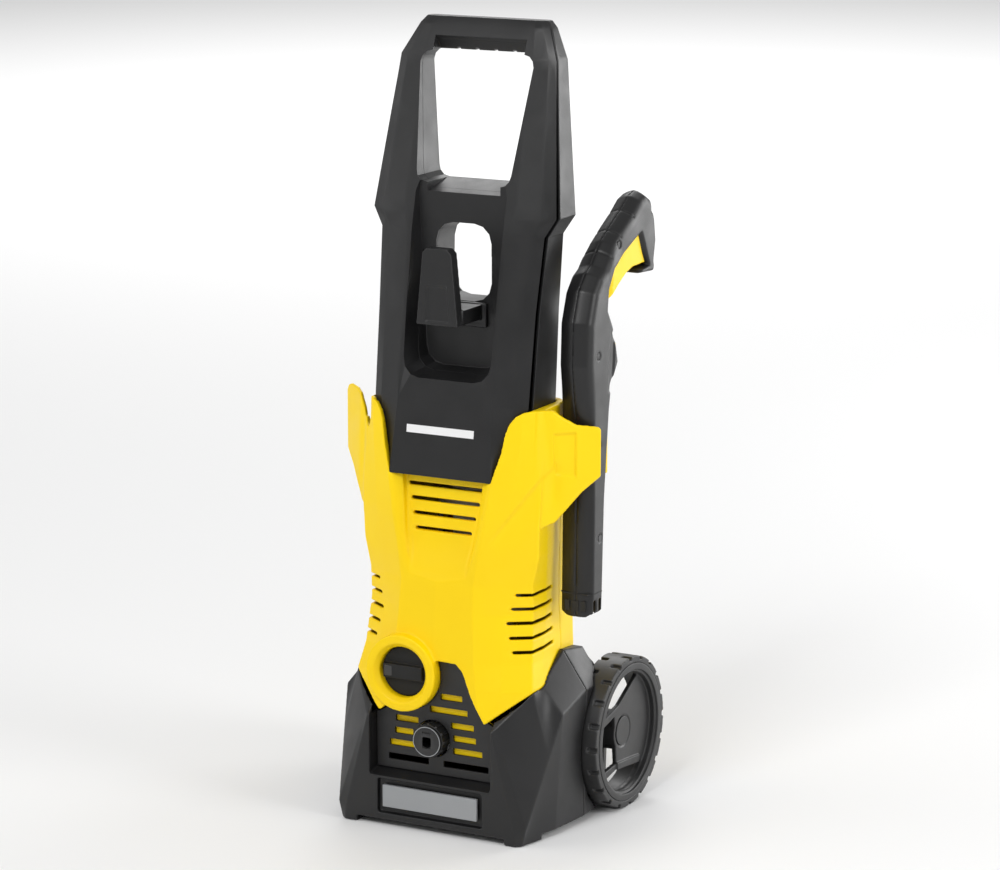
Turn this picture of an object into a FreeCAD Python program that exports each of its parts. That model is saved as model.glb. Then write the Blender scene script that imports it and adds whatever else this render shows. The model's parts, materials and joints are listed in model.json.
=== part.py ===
import FreeCAD, Part
import math
import os

import Sketcher
from FreeCAD import Placement, Rotation, Vector

# Upright electric pressure washer, millimetres. X is the operator's right when facing the front, -Y is the
# front, Z is up. The origin is on the floor, midway between the outermost faces in X and in Y.

DIMENSIONS = {
    # whole machine
    "overall_height": 677.0, "half_width": 121.5, "wall": 2.6, "seam_y": -15.0,
    # tower: heights of its sections from the bottom up
    "foot_z": 303.0, "flap_z": 366.0, "middle_z": 441.6, "notch_z": 504.0, "waist_z": 519.6,
    "grip_z": 600.0, "shoulder_z": 646.0, "brow_z": 671.0,
    # tower: half widths at those heights
    "foot_half": 69.5, "flap_half": 73.5, "middle_half": 74.7, "notch_half": 77.5, "waist_half": 86.8,
    "grip_half": 78.5, "shoulder_half": 73.7, "brow_half": 62.0, "crown_half": 57.0,
    # tower: front surface, seam and rear surface at those heights
    "foot_front": -87.0, "flap_front": -78.6, "middle_front": -67.0, "notch_front": -56.0,
    "waist_front": -52.5, "grip_front": -31.9, "shoulder_front": -20.0, "brow_front": -9.5,
    "crown_front": -4.0,
    "foot_seam": -67.5, "flap_seam": -59.5, "middle_seam": -50.6, "notch_seam": -41.0, "waist_seam": -38.0,
    "grip_seam": -25.0, "shoulder_seam": -17.0, "brow_seam": -5.0, "crown_seam": -1.5,
    "foot_rear": -18.0, "flap_rear": -16.0, "middle_rear": -13.0, "notch_rear": -11.0, "waist_rear": -7.0,
    "grip_rear": -0.4, "shoulder_rear": 3.5, "brow_rear": 8.0, "crown_rear": 8.0,
    "groove_depth": 5.0,
    # hand opening, hook recess and the hole behind the hook
    "hand_top_z": 650.0, "hand_top_half": 53.0, "hand_sill_z": 543.0, "hand_sill_half": 44.3,
    "hand_corner": 10.0,
    "frame_wall": 3.0, "recess_top_z": 552.0, "recess_top_half": 47.0, "recess_foot_z": 385.0,
    "recess_foot_half": 40.4, "recess_floor_y": -44.0, "recess_draft": 5.0, "recess_corner": 16.0,
    "hole_top_z": 511.0, "hole_foot_z": 446.0, "hole_half": 26.0, "hole_corner": 16.0, "sill_front_z": 530.0,
    "brow_ramp_y": -3.0, "brow_ramp_rise": 1.15,
    "finger_notch_pitch": 17.5, "finger_notch_width": 3.0, "finger_notch_depth": 1.6,
    # hook
    "hook_front_y": -91.0, "hook_blade": 11.0, "hook_top_z": 496.0, "hook_foot_z": 432.0,
    "hook_top_half": 13.5, "hook_foot_half": 19.3, "hook_arm_top_z": 444.5, "hook_rib": 1.4,
    "hook_frame_z": 465.0, "hook_frame_half": 11.2, "hook_plate_half": 23.0, "hook_plate": 4.0,
    # front cover
    "cover_wall": 3.0, "flap_tip_z": 363.7,
    "vent_pitch": 12.3, "vent_height": 3.2, "vent_top_z": 292.0, "vent_top_half": 35.5,
    "vent_foot_half": 27.0,
    "side_vent_pitch": 12.0, "side_vent_height": 2.6, "side_vent_top_z": 206.0,
    "channel_depth": 6.5, "side_vent_x": 58.0,
    "switch_x": -28.5, "switch_z": 135.5, "switch_hole": 22.0, "switch_ring": 33.0, "switch_ring_y": -106.0,
    "wing_inner_x": 83.5, "wing_inner_y": -68.0, "wing_tip_y": -30.0, "wing_top_z": 348.0,
    "wing_tip_foot_z": 306.0, "finger_top_z": 364.0,
    "prong_y": 9.5, "prong_plate": 3.5, "prong_tip_x": 108.0, "prong_top_z": 347.0, "prong_foot_z": 300.0,
    "ledge_top_z": 300.0, "ledge_x": 84.2,
    # rear cover
    "rear_foot_z": 98.0, "gland_x": -34.0, "gland_z": 168.0, "gland_radius": 9.0,
    # base
    "base_front_y": -107.3,
    "bay_half": 57.8, "bay_sill_z": 47.8,
    "lip_z": 5.5, "foot_inner": 71.0, "pocket_half": 50.0, "pocket_foot_z": 11.5, "pocket_top_z": 41.5,
    "pocket_depth": 5.0, "bar_half": 45.2, "bar_foot_z": 17.0, "bar_top_z": 36.2, "bar_thick": 3.6,
    # grille
    "grille_y": -94.5, "grille_thick": 3.0, "grille_top_z": 149.0, "grille_slot": 5.2,
    "outlet_x": -3.0, "outlet_z": 79.5,
    # wheels
    "wheel_y": 41.4, "wheel_z": 65.9, "wheel_inner_x": 90.0, "wheel_outer_x": 116.0, "tyre_radius": 65.9,
    "tyre_seat": 60.0, "rim_inner": 52.0, "hub_radius": 17.0, "plate_sunk": 7.6,
    "axle_radius": 4.0, "axle_fit": 0.08, "arch_radius": 68.2, "arch_x": 88.0,
    "cap_radius": 12.6, "tread_depth": 2.8, "tread_gap": 4.6,
    # motor and pump
    "motor_y": -5.0, "pump_y": -40.0, "gear_module": 1.25, "pinion_teeth": 14.0, "gear_teeth": 42.0,
    "gear_z": 152.0, "gear_width": 8.0, "stator_radius": 38.0, "stator_foot_z": 182.0, "stator_height": 56.0,
    "stator_bore": 23.0, "rotor_radius": 22.4, "shaft_radius": 5.0, "shaft_foot_z": 148.0,
    "shaft_top_z": 294.0,
    "block_radius": 34.0, "block_foot_z": 64.0, "block_top_z": 106.0, "piston_circle": 19.0,
    "piston_radius": 6.0, "piston_top_z": 126.0, "swash_radius": 26.0, "swash_tilt": 6.0,
    "bolt_circle": 40.0, "bolt_radius": 3.0, "valve_foot_z": 68.0, "swash_shaft": 6.0, "swash_z": 134.5,
    "gearbox_top_z": 172.0, "bridge_z": 272.0, "commutator_radius": 12.0, "fan_z": 283.0,
    "inlet_x": 18.0, "inlet_z": 88.0, "inlet_thread": 13.2, "inlet_end_y": 86.0, "inlet_bore": 8.6,
    "outlet_radius": 10.5, "outlet_bore": 5.5, "collar_radius": 14.3, "knob_shaft": 4.0,
    # trigger gun
    "gun_x": 100.0, "gun_half": 15.0, "gun_wall": 2.6, "gun_foot_z": 184.0,
    "trigger_half": 7.0, "trigger_pin_y": -8.0, "trigger_pin_z": 452.0,
    "trigger_pin_radius": 2.0, "socket_bore": 6.5, "lock_z": 393.0,
}


class Size:
    """A dimension: the expression that drives it and the value that the expression has now."""

    def __init__(self, text, value):
        self.text = text
        self.value = float(value)

    def join(self, sign, other, value):
        return Size("(%s %s %s)" % (self.text, sign, size(other).text), value)

    def __add__(self, other):
        return self.join("+", other, self.value + size(other).value)

    def __radd__(self, other):
        return size(other) + self

    def __sub__(self, other):
        return self.join("-", other, self.value - size(other).value)

    def __rsub__(self, other):
        return size(other) - self

    def __mul__(self, factor):
        return self.join("*", factor, self.value * size(factor).value)

    def __rmul__(self, factor):
        return size(factor) * self

    def __truediv__(self, divisor):
        return self.join("/", divisor, self.value / size(divisor).value)

    def __neg__(self):
        return Size("(0 - %s)" % self.text, -self.value)


class Sheet:
    """Gives each spreadsheet cell as a Size, by its alias."""

    def __getattr__(self, alias):
        return Size("Dimensions." + alias, DIMENSIONS[alias])


def size(number):
    if isinstance(number, Size):
        return number
    return Size("(%.6g)" % number, number)


def fill_sheet(document):
    sheet = document.addObject("Spreadsheet::Sheet", "Dimensions")
    for row, (alias, value) in enumerate(DIMENSIONS.items(), start=1):
        sheet.set("A%d" % row, alias)
        sheet.set("B%d" % row, "%g" % value)
        sheet.setAlias("B%d" % row, alias)
    document.recompute()


doc = FreeCAD.newDocument("PressureWasher")
fill_sheet(doc)
S = Sheet()
NODES = []

# Planes that a sketch can lie in: the rotation that turns its axes, and the placement axis of its height
PLANES = {
    "XY": (Rotation(), "z"),
    "XZ": (Rotation(Vector(1, 0, 0), 90), "y"),
    "YZ": (Rotation(Vector(1, 1, 1), 120), "x"),
}


def bind(thing, path, value):
    """Drives one property of a document object by a Size."""
    thing.setExpression(path, size(value).text)


def set_length(thing, name, value):
    setattr(thing, name, size(value).value)
    bind(thing, name, value)


def move(thing, x=0.0, y=0.0, z=0.0, rotation=None):
    """Gives a document object its place."""
    thing.Placement = Placement(Vector(size(x).value, size(y).value, size(z).value), rotation or Rotation())
    for axis, value in (("x", x), ("y", y), ("z", z)):
        if isinstance(value, Size):
            bind(thing, "Placement.Base." + axis, value)
    return thing


def node(thing, label):
    """Marks a document object as a sub-part and names it."""
    thing.Label = label
    NODES.append(thing)
    return thing


def anchor(sketch, index, vertex, u, v):
    """Places one point of a sketch's geometry by two driven distances from the sketch's origin."""
    for kind, value in (("DistanceX", size(u)), ("DistanceY", size(v))):
        number = sketch.addConstraint(Sketcher.Constraint(kind, -1, 1, index, vertex, value.value))
        bind(sketch, "Constraints[%d]" % number, value)


def draw_polygon(sketch, points):
    """Adds a closed polygon to a sketch and drives each of its corners."""
    first = sketch.GeometryCount
    count = len(points)
    corners = [Vector(size(u).value, size(v).value, 0) for u, v in points]
    for index in range(count):
        sketch.addGeometry(Part.LineSegment(corners[index], corners[(index + 1) % count]), False)
    for index in range(count):
        following = first + (index + 1) % count
        sketch.addConstraint(Sketcher.Constraint("Coincident", first + index, 2, following, 1))
    for index, (u, v) in enumerate(points):
        anchor(sketch, first + index, 1, u, v)


def draw_circle(sketch, u, v, radius):
    """Adds a circle to a sketch and drives its centre and radius."""
    middle = Vector(size(u).value, size(v).value, 0)
    index = sketch.addGeometry(Part.Circle(middle, Vector(0, 0, 1), size(radius).value), False)
    anchor(sketch, index, 3, u, v)
    number = sketch.addConstraint(Sketcher.Constraint("Radius", index, size(radius).value))
    bind(sketch, "Constraints[%d]" % number, radius)


def sketch_on(plane, height, *outlines):
    """A sketch in a plane at a height. An outline is a list of corners or a (u, v, radius) circle."""
    rotation, axis = PLANES[plane]
    sketch = doc.addObject("Sketcher::SketchObject", "Outline")
    for outline in outlines:
        if isinstance(outline, list):
            draw_polygon(sketch, outline)
        else:
            draw_circle(sketch, *outline)
    return move(sketch, rotation=rotation, **{axis: height})


def prism(plane, low, high, *outlines):
    """Outlines in a plane, extruded from one height to another along the plane's own axis."""
    axis = PLANES[plane][1]
    solid = doc.addObject("Part::Extrusion", "Prism")
    solid.Base = sketch_on(plane, low, *outlines)
    solid.DirMode = "Custom"
    solid.Dir = Vector(*[float(axis == name) for name in "xyz"])
    solid.Solid = True
    set_length(solid, "LengthFwd", high - low)
    return solid


def loft(plane, sections):
    """A solid with flat facets between polygons of equal corner count at several heights."""
    solid = doc.addObject("Part::Loft", "Loft")
    solid.Sections = [sketch_on(plane, height, points) for height, points in sections]
    solid.Solid = True
    solid.Ruled = True
    return solid


def box(x, y, z, wide, deep, high):
    """A box from its low corner and its three sizes."""
    solid = doc.addObject("Part::Box", "Box")
    set_length(solid, "Length", wide)
    set_length(solid, "Width", deep)
    set_length(solid, "Height", high)
    return move(solid, x, y, z)


def rod(axis, x, y, z, radius, length):
    """A cylinder from the middle of its low end, along an axis."""
    turns = {"x": Rotation(Vector(0, 1, 0), 90), "y": Rotation(Vector(1, 0, 0), -90), "z": Rotation()}
    solid = doc.addObject("Part::Cylinder", "Rod")
    set_length(solid, "Radius", radius)
    set_length(solid, "Height", length)
    return move(solid, x, y, z, turns[axis])


def cone(axis, x, y, z, low_radius, high_radius, length):
    """A truncated cone from the middle of its low end, along an axis."""
    turns = {"x": Rotation(Vector(0, 1, 0), 90), "y": Rotation(Vector(1, 0, 0), -90), "z": Rotation()}
    solid = doc.addObject("Part::Cone", "Cone")
    set_length(solid, "Radius1", low_radius)
    set_length(solid, "Radius2", high_radius)
    set_length(solid, "Height", length)
    return move(solid, x, y, z, turns[axis])


def tube(axis, x, y, z, outer, inner, length):
    """A cylinder with a round hole right through it."""
    return cut(rod(axis, x, y, z, outer, length), rod(axis, x, y, z, inner, length))


def fuse(*things):
    solid = doc.addObject("Part::MultiFuse", "Fusion")
    solid.Shapes = list(things)
    solid.Refine = True
    return solid


def group(*things):
    """Several separate solids as one document object."""
    solid = doc.addObject("Part::Compound", "Group")
    solid.Links = list(things)
    return solid


def cut(base, *tools):
    """Takes tools away from a base."""
    solid = doc.addObject("Part::Cut", "Cut")
    solid.Base = base
    solid.Tool = tools[0] if len(tools) == 1 else fuse(*tools)
    solid.Refine = True
    return solid


def common(first, second):
    solid = doc.addObject("Part::Common", "Common")
    solid.Base = first
    solid.Tool = second
    solid.Refine = True
    return solid


def mirror_x(thing):
    """The same shape on the other side of the machine."""
    solid = doc.addObject("Part::Mirroring", "Mirror")
    solid.Source = thing
    solid.Normal = Vector(1, 0, 0)
    return solid


def duplicates(thing, placements):
    """The same shape at several placements, as one group."""
    doc.recompute()
    solids = []
    for placement in placements:
        solid = doc.addObject("Part::Feature", "Duplicate")
        solid.Shape = thing.Shape
        solid.Placement = placement.multiply(thing.Shape.Placement)
        solids.append(solid)
    return group(*solids)


def around(thing, count, axis, centre, first_angle=0.0):
    """Evenly turned copies of a shape about an axis."""
    step = 360.0 / count
    return duplicates(thing, [Placement(Vector(), Rotation(axis, first_angle + step * index), centre)
                              for index in range(count)])


def along(thing, *places):
    """Copies of a shape moved to several places."""
    return duplicates(thing, [Placement(Vector(*[size(value).value for value in place]), Rotation())
                              for place in places])


def both(half):
    """A whole outline from its right half, which runs from one end of the centre line to the other."""
    left = [(-u, v) for u, v in reversed(half) if size(u).value != 0]
    return list(half) + left

# ---- Tower -------------------------------------------------------------------------------------------------

TOWER_LEVELS = ["foot", "flap", "middle", "notch", "waist", "grip", "shoulder", "brow", "crown"]

# Where the flat front ends and where the crease lies, as shares of the half width, and how far back the
# crease lies, as a share of the front shell's depth
TOWER_FACETS = {
    "foot": (0.69, 0.76, 0.6), "flap": (0.6, 0.86, 0.3), "middle": (0.6, 0.86, 0.25),
    "notch": (0.62, 0.86, 0.25),
    "waist": (0.58, 0.86, 0.25), "grip": (0.64, 0.88, 0.25), "shoulder": (0.7, 0.9, 0.2),
    "brow": (0.76, 0.9, 0.2), "crown": (0.8, 0.9, 0.2),
}
GROOVE_SHARE = 0.35


def tower_level(name):
    """Height, half width, front, seam and rear of the tower at one of its levels."""
    height = S.overall_height if name == "crown" else getattr(S, name + "_z")
    return [height] + [getattr(S, name + "_" + part) for part in ("half", "front", "seam", "rear")]


def tower_crease(name):
    height, half, front, seam, rear = tower_level(name)
    flat_share, crease_share, crease_depth = TOWER_FACETS[name]
    return [(half * flat_share, front), (half * crease_share, front + (seam - front) * crease_depth)]


def tower_front_half(name, inset):
    """Right half of the front shell's section. An inset makes it the section of the shell's cavity."""
    height, half, front, seam, rear = tower_level(name)
    flat, crease = tower_crease(name)
    groove_y = seam - (seam - front) * GROOVE_SHARE
    shoulder_x = half - S.groove_depth
    if inset:
        return [(flat[0] - inset * 0.4, flat[1] + inset), (crease[0] - inset * 0.8, crease[1] + inset),
                (shoulder_x - inset, groove_y + inset), (shoulder_x - inset, seam + 1)]
    return [flat, crease, (half - 1, groove_y), (shoulder_x, groove_y), (shoulder_x, seam)]


def tower_rear_half(name, inset):
    """Right half of the rear shell's section. An inset makes it the section of the shell's cavity."""
    height, half, front, seam, rear = tower_level(name)
    if inset:
        return [(half - inset, seam - 1), (half - inset, rear - inset - 3), (half - inset - 3, rear - inset)]
    return [(half, seam), (half, rear - 3), (half - 3, rear)]


def tower_hull_half(name, grow):
    """Right half of the whole tower's section, a little larger than both shells."""
    height, half, front, seam, rear = tower_level(name)
    flat, crease = tower_crease(name)
    return [(flat[0], flat[1] - grow), (crease[0] + grow, crease[1] - grow), (half + grow, seam - 7 - grow),
            (half + grow, rear + grow)]


def tower_loft(half_section, inset, levels, foot=0.0, head=0.0):
    """A loft of the tower's sections. Foot and head move its lowest and highest section."""
    heights = [tower_level(name)[0] for name in levels]
    heights[0] = heights[0] + foot
    heights[-1] = heights[-1] + head
    return loft("XY", [(height, both(half_section(name, inset))) for height, name in zip(heights, levels)])


def rounded_outline(top_z, top_half, foot_z, foot_half, corner, grow=0.0):
    """A symmetric four-sided outline in the XZ plane with rounded corners, grown by a margin."""
    half = []
    for middle_x, middle_z, start in ((top_half + grow - corner, top_z + grow - corner, 90),
                                      (foot_half + grow - corner, foot_z - grow + corner, 0)):
        for turned in (0, 30, 60, 90):
            angle = math.radians(start - turned)
            half.append((middle_x + corner * math.cos(angle), middle_z + corner * math.sin(angle)))
    return half + [(-x, z) for x, z in reversed(half)]


def hand_opening(grow):
    outline = rounded_outline(S.hand_top_z, S.hand_top_half, S.hand_sill_z, S.hand_sill_half, S.hand_corner,
                              grow)
    return prism("XZ", size(-130), size(60), outline)


def sill_ramp(grow):
    """The slope from the sill of the hand opening down to the recess in front of it."""
    half = S.hand_sill_half - S.hand_corner + grow
    return prism("YZ", -half, half, [(size(-70), S.sill_front_z - grow), (size(-70), S.hand_sill_z + 4),
                                     (size(-12), S.hand_sill_z + 4), (size(-12), S.hand_sill_z - grow)])


def brow_ramp(grow):
    """The slope from the front of the handle bar back to the top of the hand opening."""
    half = S.hand_top_half - S.hand_corner + grow
    reach = size(30)
    low_z = S.hand_top_z + grow
    return prism("YZ", -half, half, [(S.brow_ramp_y, low_z), (S.brow_ramp_y, S.hand_top_z - 4),
                                     (S.brow_ramp_y - reach, S.hand_top_z - 4),
                                     (S.brow_ramp_y - reach, low_z + reach * S.brow_ramp_rise)])


def hook_hole(grow):
    outline = rounded_outline(S.hole_top_z, S.hole_half, S.hole_foot_z, S.hole_half, S.hole_corner, grow)
    return prism("XZ", size(-130), size(60), outline)


def hook_recess(grow):
    """The recess that holds the hook: its walls lean in towards a floor that stands upright."""
    sections = []
    for y, share in ((S.recess_floor_y - 50, -1.0), (S.recess_floor_y + grow, 1.0)):
        lean = S.recess_draft * share
        sections.append((y, rounded_outline(S.recess_top_z, S.recess_top_half - lean, S.recess_foot_z + lean,
                                            S.recess_foot_half - lean, S.recess_corner, grow)))
    return loft("XZ", sections)


def finger_notches():
    """Four small notches in the underside of the handle bar."""
    notches = []
    for index in range(4):
        x = S.finger_notch_pitch * (index - 1.5) - S.finger_notch_width / 2
        notches.append(box(x, size(-40), S.hand_top_z - 1, S.finger_notch_width, size(60),
                           S.finger_notch_depth + 1))
    return fuse(*notches)


def tower_shell(half_section, cavity_levels, cavity_head):
    """One half of the tower: hollow, with closed frames round its openings."""
    outer = tower_loft(half_section, 0.0, TOWER_LEVELS)
    cavity = tower_loft(half_section, S.wall, cavity_levels, foot=size(-1), head=cavity_head)
    openings = (hand_opening, brow_ramp, hook_hole, hook_recess, sill_ramp)
    frames = fuse(*[opening(S.frame_wall) for opening in openings])
    return cut(outer, cut(cavity, frames), finger_notches(), *[opening(size(0)) for opening in openings])


# Screw places: x and z, then the y where the boss starts and the y of the face that the head sinks into
TOWER_SCREWS = [(60, 400, -54, -14.6), (60, 486, -43, -11.7), (63, 600, -24, -0.4)]
COVER_SCREWS = [(62, 140, -12, 30.0), (62, 205, -12, 30.0), (62, 270, -12, 30.0)]


def screw_parts(places):
    """Bosses, the holes through them and the screws in them, each as one group for both sides."""
    bosses, holes, screws = [], [], []
    for x, z, start_y, face_y in places:
        bosses.append(rod("y", size(x), size(start_y), size(z), size(4.5), size(face_y - 1.2 - start_y)))
        holes.append(rod("y", size(x), size(start_y - 1), size(z), size(1.8), size(face_y - start_y)))
        holes.append(rod("y", size(x), size(face_y - 3.4), size(z), size(3.6), size(8)))
        screws.append(rod("y", size(x), size(start_y + 2), size(z), size(1.8), size(face_y - 5.4 - start_y)))
        screws.append(rod("y", size(x), size(face_y - 3.4), size(z), size(3.4), size(2)))
    right = [fuse(*things) for things in (bosses, holes, screws)]
    return [(thing, mirror_x(thing)) for thing in right]


tower_bosses, tower_screw_holes, tower_screws = screw_parts(TOWER_SCREWS)
node(tower_shell(tower_front_half, TOWER_LEVELS[:6], size(0)), "tower_front")
node(cut(fuse(tower_shell(tower_rear_half, TOWER_LEVELS, -S.wall), *tower_bosses), *tower_screw_holes),
     "tower_rear")

# Hook: a blade that stands on an arm, with a fixing plate against the floor of the recess
blade_half = [(S.hook_top_half - 4, S.hook_top_z), (S.hook_top_half, S.hook_top_z - 4),
              (S.hook_foot_half, S.hook_foot_z)]
blade_outline = blade_half + [(-x, z) for x, z in reversed(blade_half)]
panel_half = [(S.hook_frame_half - 1.5, S.hook_frame_z), (S.hook_frame_half, S.hook_foot_z + 3)]
panel_outline = panel_half + [(-x, z) for x, z in reversed(panel_half)]
blade = prism("XZ", S.hook_front_y, S.hook_front_y + S.hook_blade, blade_outline)
blade_panel = prism("XZ", S.hook_front_y - 1, S.hook_front_y + S.hook_rib, panel_outline)
arm_start_y = S.hook_front_y + S.hook_blade - 1
plate_foot_z = S.hook_foot_z - 7
hook_arm = box(-S.hook_foot_half, arm_start_y, S.hook_foot_z, S.hook_foot_half * 2,
               S.recess_floor_y - arm_start_y, S.hook_arm_top_z - S.hook_foot_z)
hook_plate = box(-S.hook_plate_half, S.recess_floor_y - S.hook_plate, plate_foot_z, S.hook_plate_half * 2,
                 S.hook_plate, S.hook_arm_top_z + 1.2 - plate_foot_z)
node(cut(fuse(blade, hook_arm, hook_plate), blade_panel), "hose_hook")


# ---- Yellow covers -----------------------------------------------------------------------------------------

# The covers' common outer section at each height: the height, the front at the centre, the corners of the
# right half from front to rear, and the rear at the centre
COVER_SECTIONS = [
    (96.5, -105.0, [(46, -105), (52, -104), (60, -100), (66, -90), (78, -15), (72, 14), (56, 34)], 38.0),
    (128.0, -102.5, [(42, -101.5), (62, -94), (84, -80), (85, -60), (80, -15), (74, 15), (57, 36)], 40.0),
    (150.0, -100.0, [(38, -98.5), (58, -88), (80, -73), (81, -55), (77, -15), (73, 16), (57, 37)], 41.0),
    (190.0, -96.5, [(35, -95), (57, -80), (77.5, -66.5), (78.5, -45), (75, -15), (72, 16), (57, 37)], 41.0),
    (215.0, -94.0, [(34, -92.5), (57, -80), (77.5, -68), (78.5, -45), (75, -15), (72, 16), (57, 37)], 41.0),
    (240.0, -92.0, [(38, -91), (60, -80), (83, -68), (82, -50), (75.5, -15), (72, 16), (57, 37)], 41.0),
    (270.0, -90.0, [(44, -89.5), (64, -80), (84, -69), (82.5, -52), (76, -15), (72, 16), (57, 37)], 41.0),
    (300.0, -88.5, [(48, -88), (66, -79), (84, -68), (82.5, -52), (77, -15), (72, 12), (56, 32)], 36.0),
    (345.0, -82.5, [(56, -81.5), (70, -75.5), (84, -64), (83, -48), (79, -15), (72, -4), (54, 4)], 6.0),
    (372.0, -80.0, [(58, -79.5), (70, -74), (84, -62), (83, -44), (80, -15), (72, -9), (54, -8)], -7.0),
]
# How an inset of one moves each of those corners, across and along
INWARD = [(-0.3, 1.0), (-0.6, 0.9), (-0.9, 0.7), (-1.0, 0.2), (-1.0, 0.0), (-1.0, -0.3), (-0.5, -0.9)]


def cover_hull(inset, channel_depth=0.0):
    """The closed form of both covers, moved inwards by an inset and further behind the vent channel."""
    sections = []
    for height, front, corners, rear in COVER_SECTIONS:
        half = [(size(0), front + channel_depth + inset)]
        for index, ((x, y), (across, along_y)) in enumerate(zip(corners, INWARD)):
            sunk = channel_depth if index == 0 else 0.0
            half.append((x + inset * across, y + sunk + inset * along_y))
        half.append((size(0), rear - inset))
        sections.append((size(height), both(half)))
    return loft("XY", sections)


def vent_slots():
    """Four level slots in the front channel, each narrower than the one above it."""
    slots = []
    for index in range(4):
        half = S.vent_top_half - (S.vent_top_half - S.vent_foot_half) * (index / 3)
        slots.append(box(-half, size(-125), S.vent_top_z - S.vent_pitch * index, half * 2, size(50),
                         S.vent_height))
    return fuse(*slots)


def side_slots():
    """Five slots in the flank, the middle one reaching furthest forward."""
    slots = []
    for index in range(5):
        start_x = S.side_vent_x + abs(index - 2) * 3.0
        slots.append(box(start_x, size(-90), S.side_vent_top_z - S.side_vent_pitch * index, size(40),
                         size(59),
                         S.side_vent_height))
    return fuse(*slots)


front_space = box(size(-130), size(-130), size(80), size(260), S.seam_y + 130, S.flap_tip_z - 80)
rear_space = box(size(-130), S.seam_y, S.rear_foot_z, size(260), size(90), S.flap_tip_z - S.rear_foot_z)
hollow_space = box(size(-130), size(-130), size(80), size(260), size(220), S.flap_tip_z - S.cover_wall - 80)
cover_hollow = common(cover_hull(S.cover_wall, S.channel_depth), hollow_space)
tower_space = tower_loft(tower_hull_half, size(0.3), TOWER_LEVELS[:4])

# Front cover: open to the tower's panel, with a shaped foot line, a vent channel and the switch's ring
window_half = [(size(47.6), S.foot_z), (size(55), size(328)), (size(58), size(345)), (size(61), size(353)),
               (size(65.5), size(359)), (size(71), size(362.3)), (size(78), S.flap_tip_z - 0.2),
               (size(95), S.flap_tip_z - 0.2), (size(95), size(380))]
panel_window = window_half + [(-x, z) for x, z in reversed(window_half)]
foot_line = [(size(-100), size(80)), (size(-100), size(127.5)), (size(-84.5), size(127.5)),
             (size(-50), size(100.5)),
             (size(-36), size(112)), (size(-12), S.grille_top_z), (size(21), S.grille_top_z - 0.6),
             (size(28), size(142)), (size(37), size(122)), (size(50), size(100.5)), (size(84.5), size(127.5)),
             (size(100), size(127.5)), (size(100), size(80))]
channel_levels = [(213, 22, -94.6), (222, 27, -92.0), (256, 33, -87.2), (292, 37, -82.4), (304, 38, -81.2)]
vent_channel = loft("XY", [(size(z), [(-half, -130), (half, -130), (half, y), (-half, y)])
                           for z, half, y in channel_levels])
switch_ring = rod("y", S.switch_x, S.switch_ring_y, S.switch_z, S.switch_ring, size(12))
switch_well = fuse(rod("y", S.switch_x, S.switch_ring_y - 1, S.switch_z, S.switch_hole, size(28)),
                   cone("y", S.switch_x, S.switch_ring_y - 0.1, S.switch_z, S.switch_hole + 4,
                        S.switch_hole, size(5)))


def wing(outline):
    """A wing: a slanted plate from the cover's ridge to its tip, cut to an outline seen from the front."""
    plan = [(S.wing_inner_x - 3, S.wing_inner_y - 0.8), (S.half_width - 2, S.wing_tip_y - 2),
            (S.half_width, S.wing_tip_y), (S.half_width - 1, S.wing_tip_y + 1),
            (S.half_width - 3, S.wing_tip_y + 0.4),
            (S.wing_inner_x - 4, S.wing_inner_y + 3)]
    return common(prism("XY", size(230), size(376), plan), prism("XZ", size(-100), size(0), outline))


wing_foot = [(size(78), size(262)), (size(92), size(269)), (size(108.5), size(293)),
             (S.half_width - 0.5, S.wing_tip_foot_z), (S.half_width + 1, S.wing_tip_foot_z + 4)]
cradle_top = [(S.half_width + 1, S.wing_top_z - 4), (S.half_width - 3, S.wing_top_z),
              (size(105), size(350.5)),
              (size(97), size(357)), (size(90), S.flap_tip_z), (size(78), S.flap_tip_z)]
finger_top = [(S.half_width + 1, S.finger_top_z - 9), (S.half_width - 4, S.finger_top_z - 2),
              (S.half_width - 10, S.finger_top_z), (size(98), S.finger_top_z), (size(92), S.finger_top_z - 3),
              (size(87), size(349)), (size(84), size(338)), (size(78), size(334))]
left_notch = prism("XZ", size(-130), size(-18), [(size(-74.2), size(370)), (size(-90), size(370)),
                                                 (size(-87), size(351)), (size(-82), size(338)),
                                                 (size(-77.5), size(335)), (size(-74.2), size(345))])
prong = box(size(74), S.prong_y - S.prong_plate, S.prong_foot_z, S.prong_tip_x - 74, S.prong_plate,
            S.prong_top_z - S.prong_foot_z)
prong_web = box(size(74), size(-14), S.prong_foot_z, size(4), S.prong_y + 14, S.prong_top_z - S.prong_foot_z)
ledge = box(size(76), size(-24), S.ledge_top_z - 6, S.ledge_x - 76, size(8), size(6))
horn = prism("YZ", size(80), size(83), [(size(-56), size(350)), (size(-28), size(350)),
                                        (size(-28), size(369)),
                                      (size(-36), size(367)), (size(-56), size(360))])
front_hull = common(cover_hull(size(0)), front_space)
front_solid = fuse(front_hull, wing(wing_foot + cradle_top), mirror_x(wing(wing_foot + finger_top)), ledge,
                   horn)
front_shell = cut(front_solid, cover_hollow, tower_space, prism("XZ", size(-130), size(-18), panel_window),
                  prism("XZ", size(-130), size(0), foot_line), vent_channel, vent_slots(), side_slots(),
                  mirror_x(side_slots()), left_notch)
node(cut(fuse(front_shell, switch_ring), switch_well), "front_cover")

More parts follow.
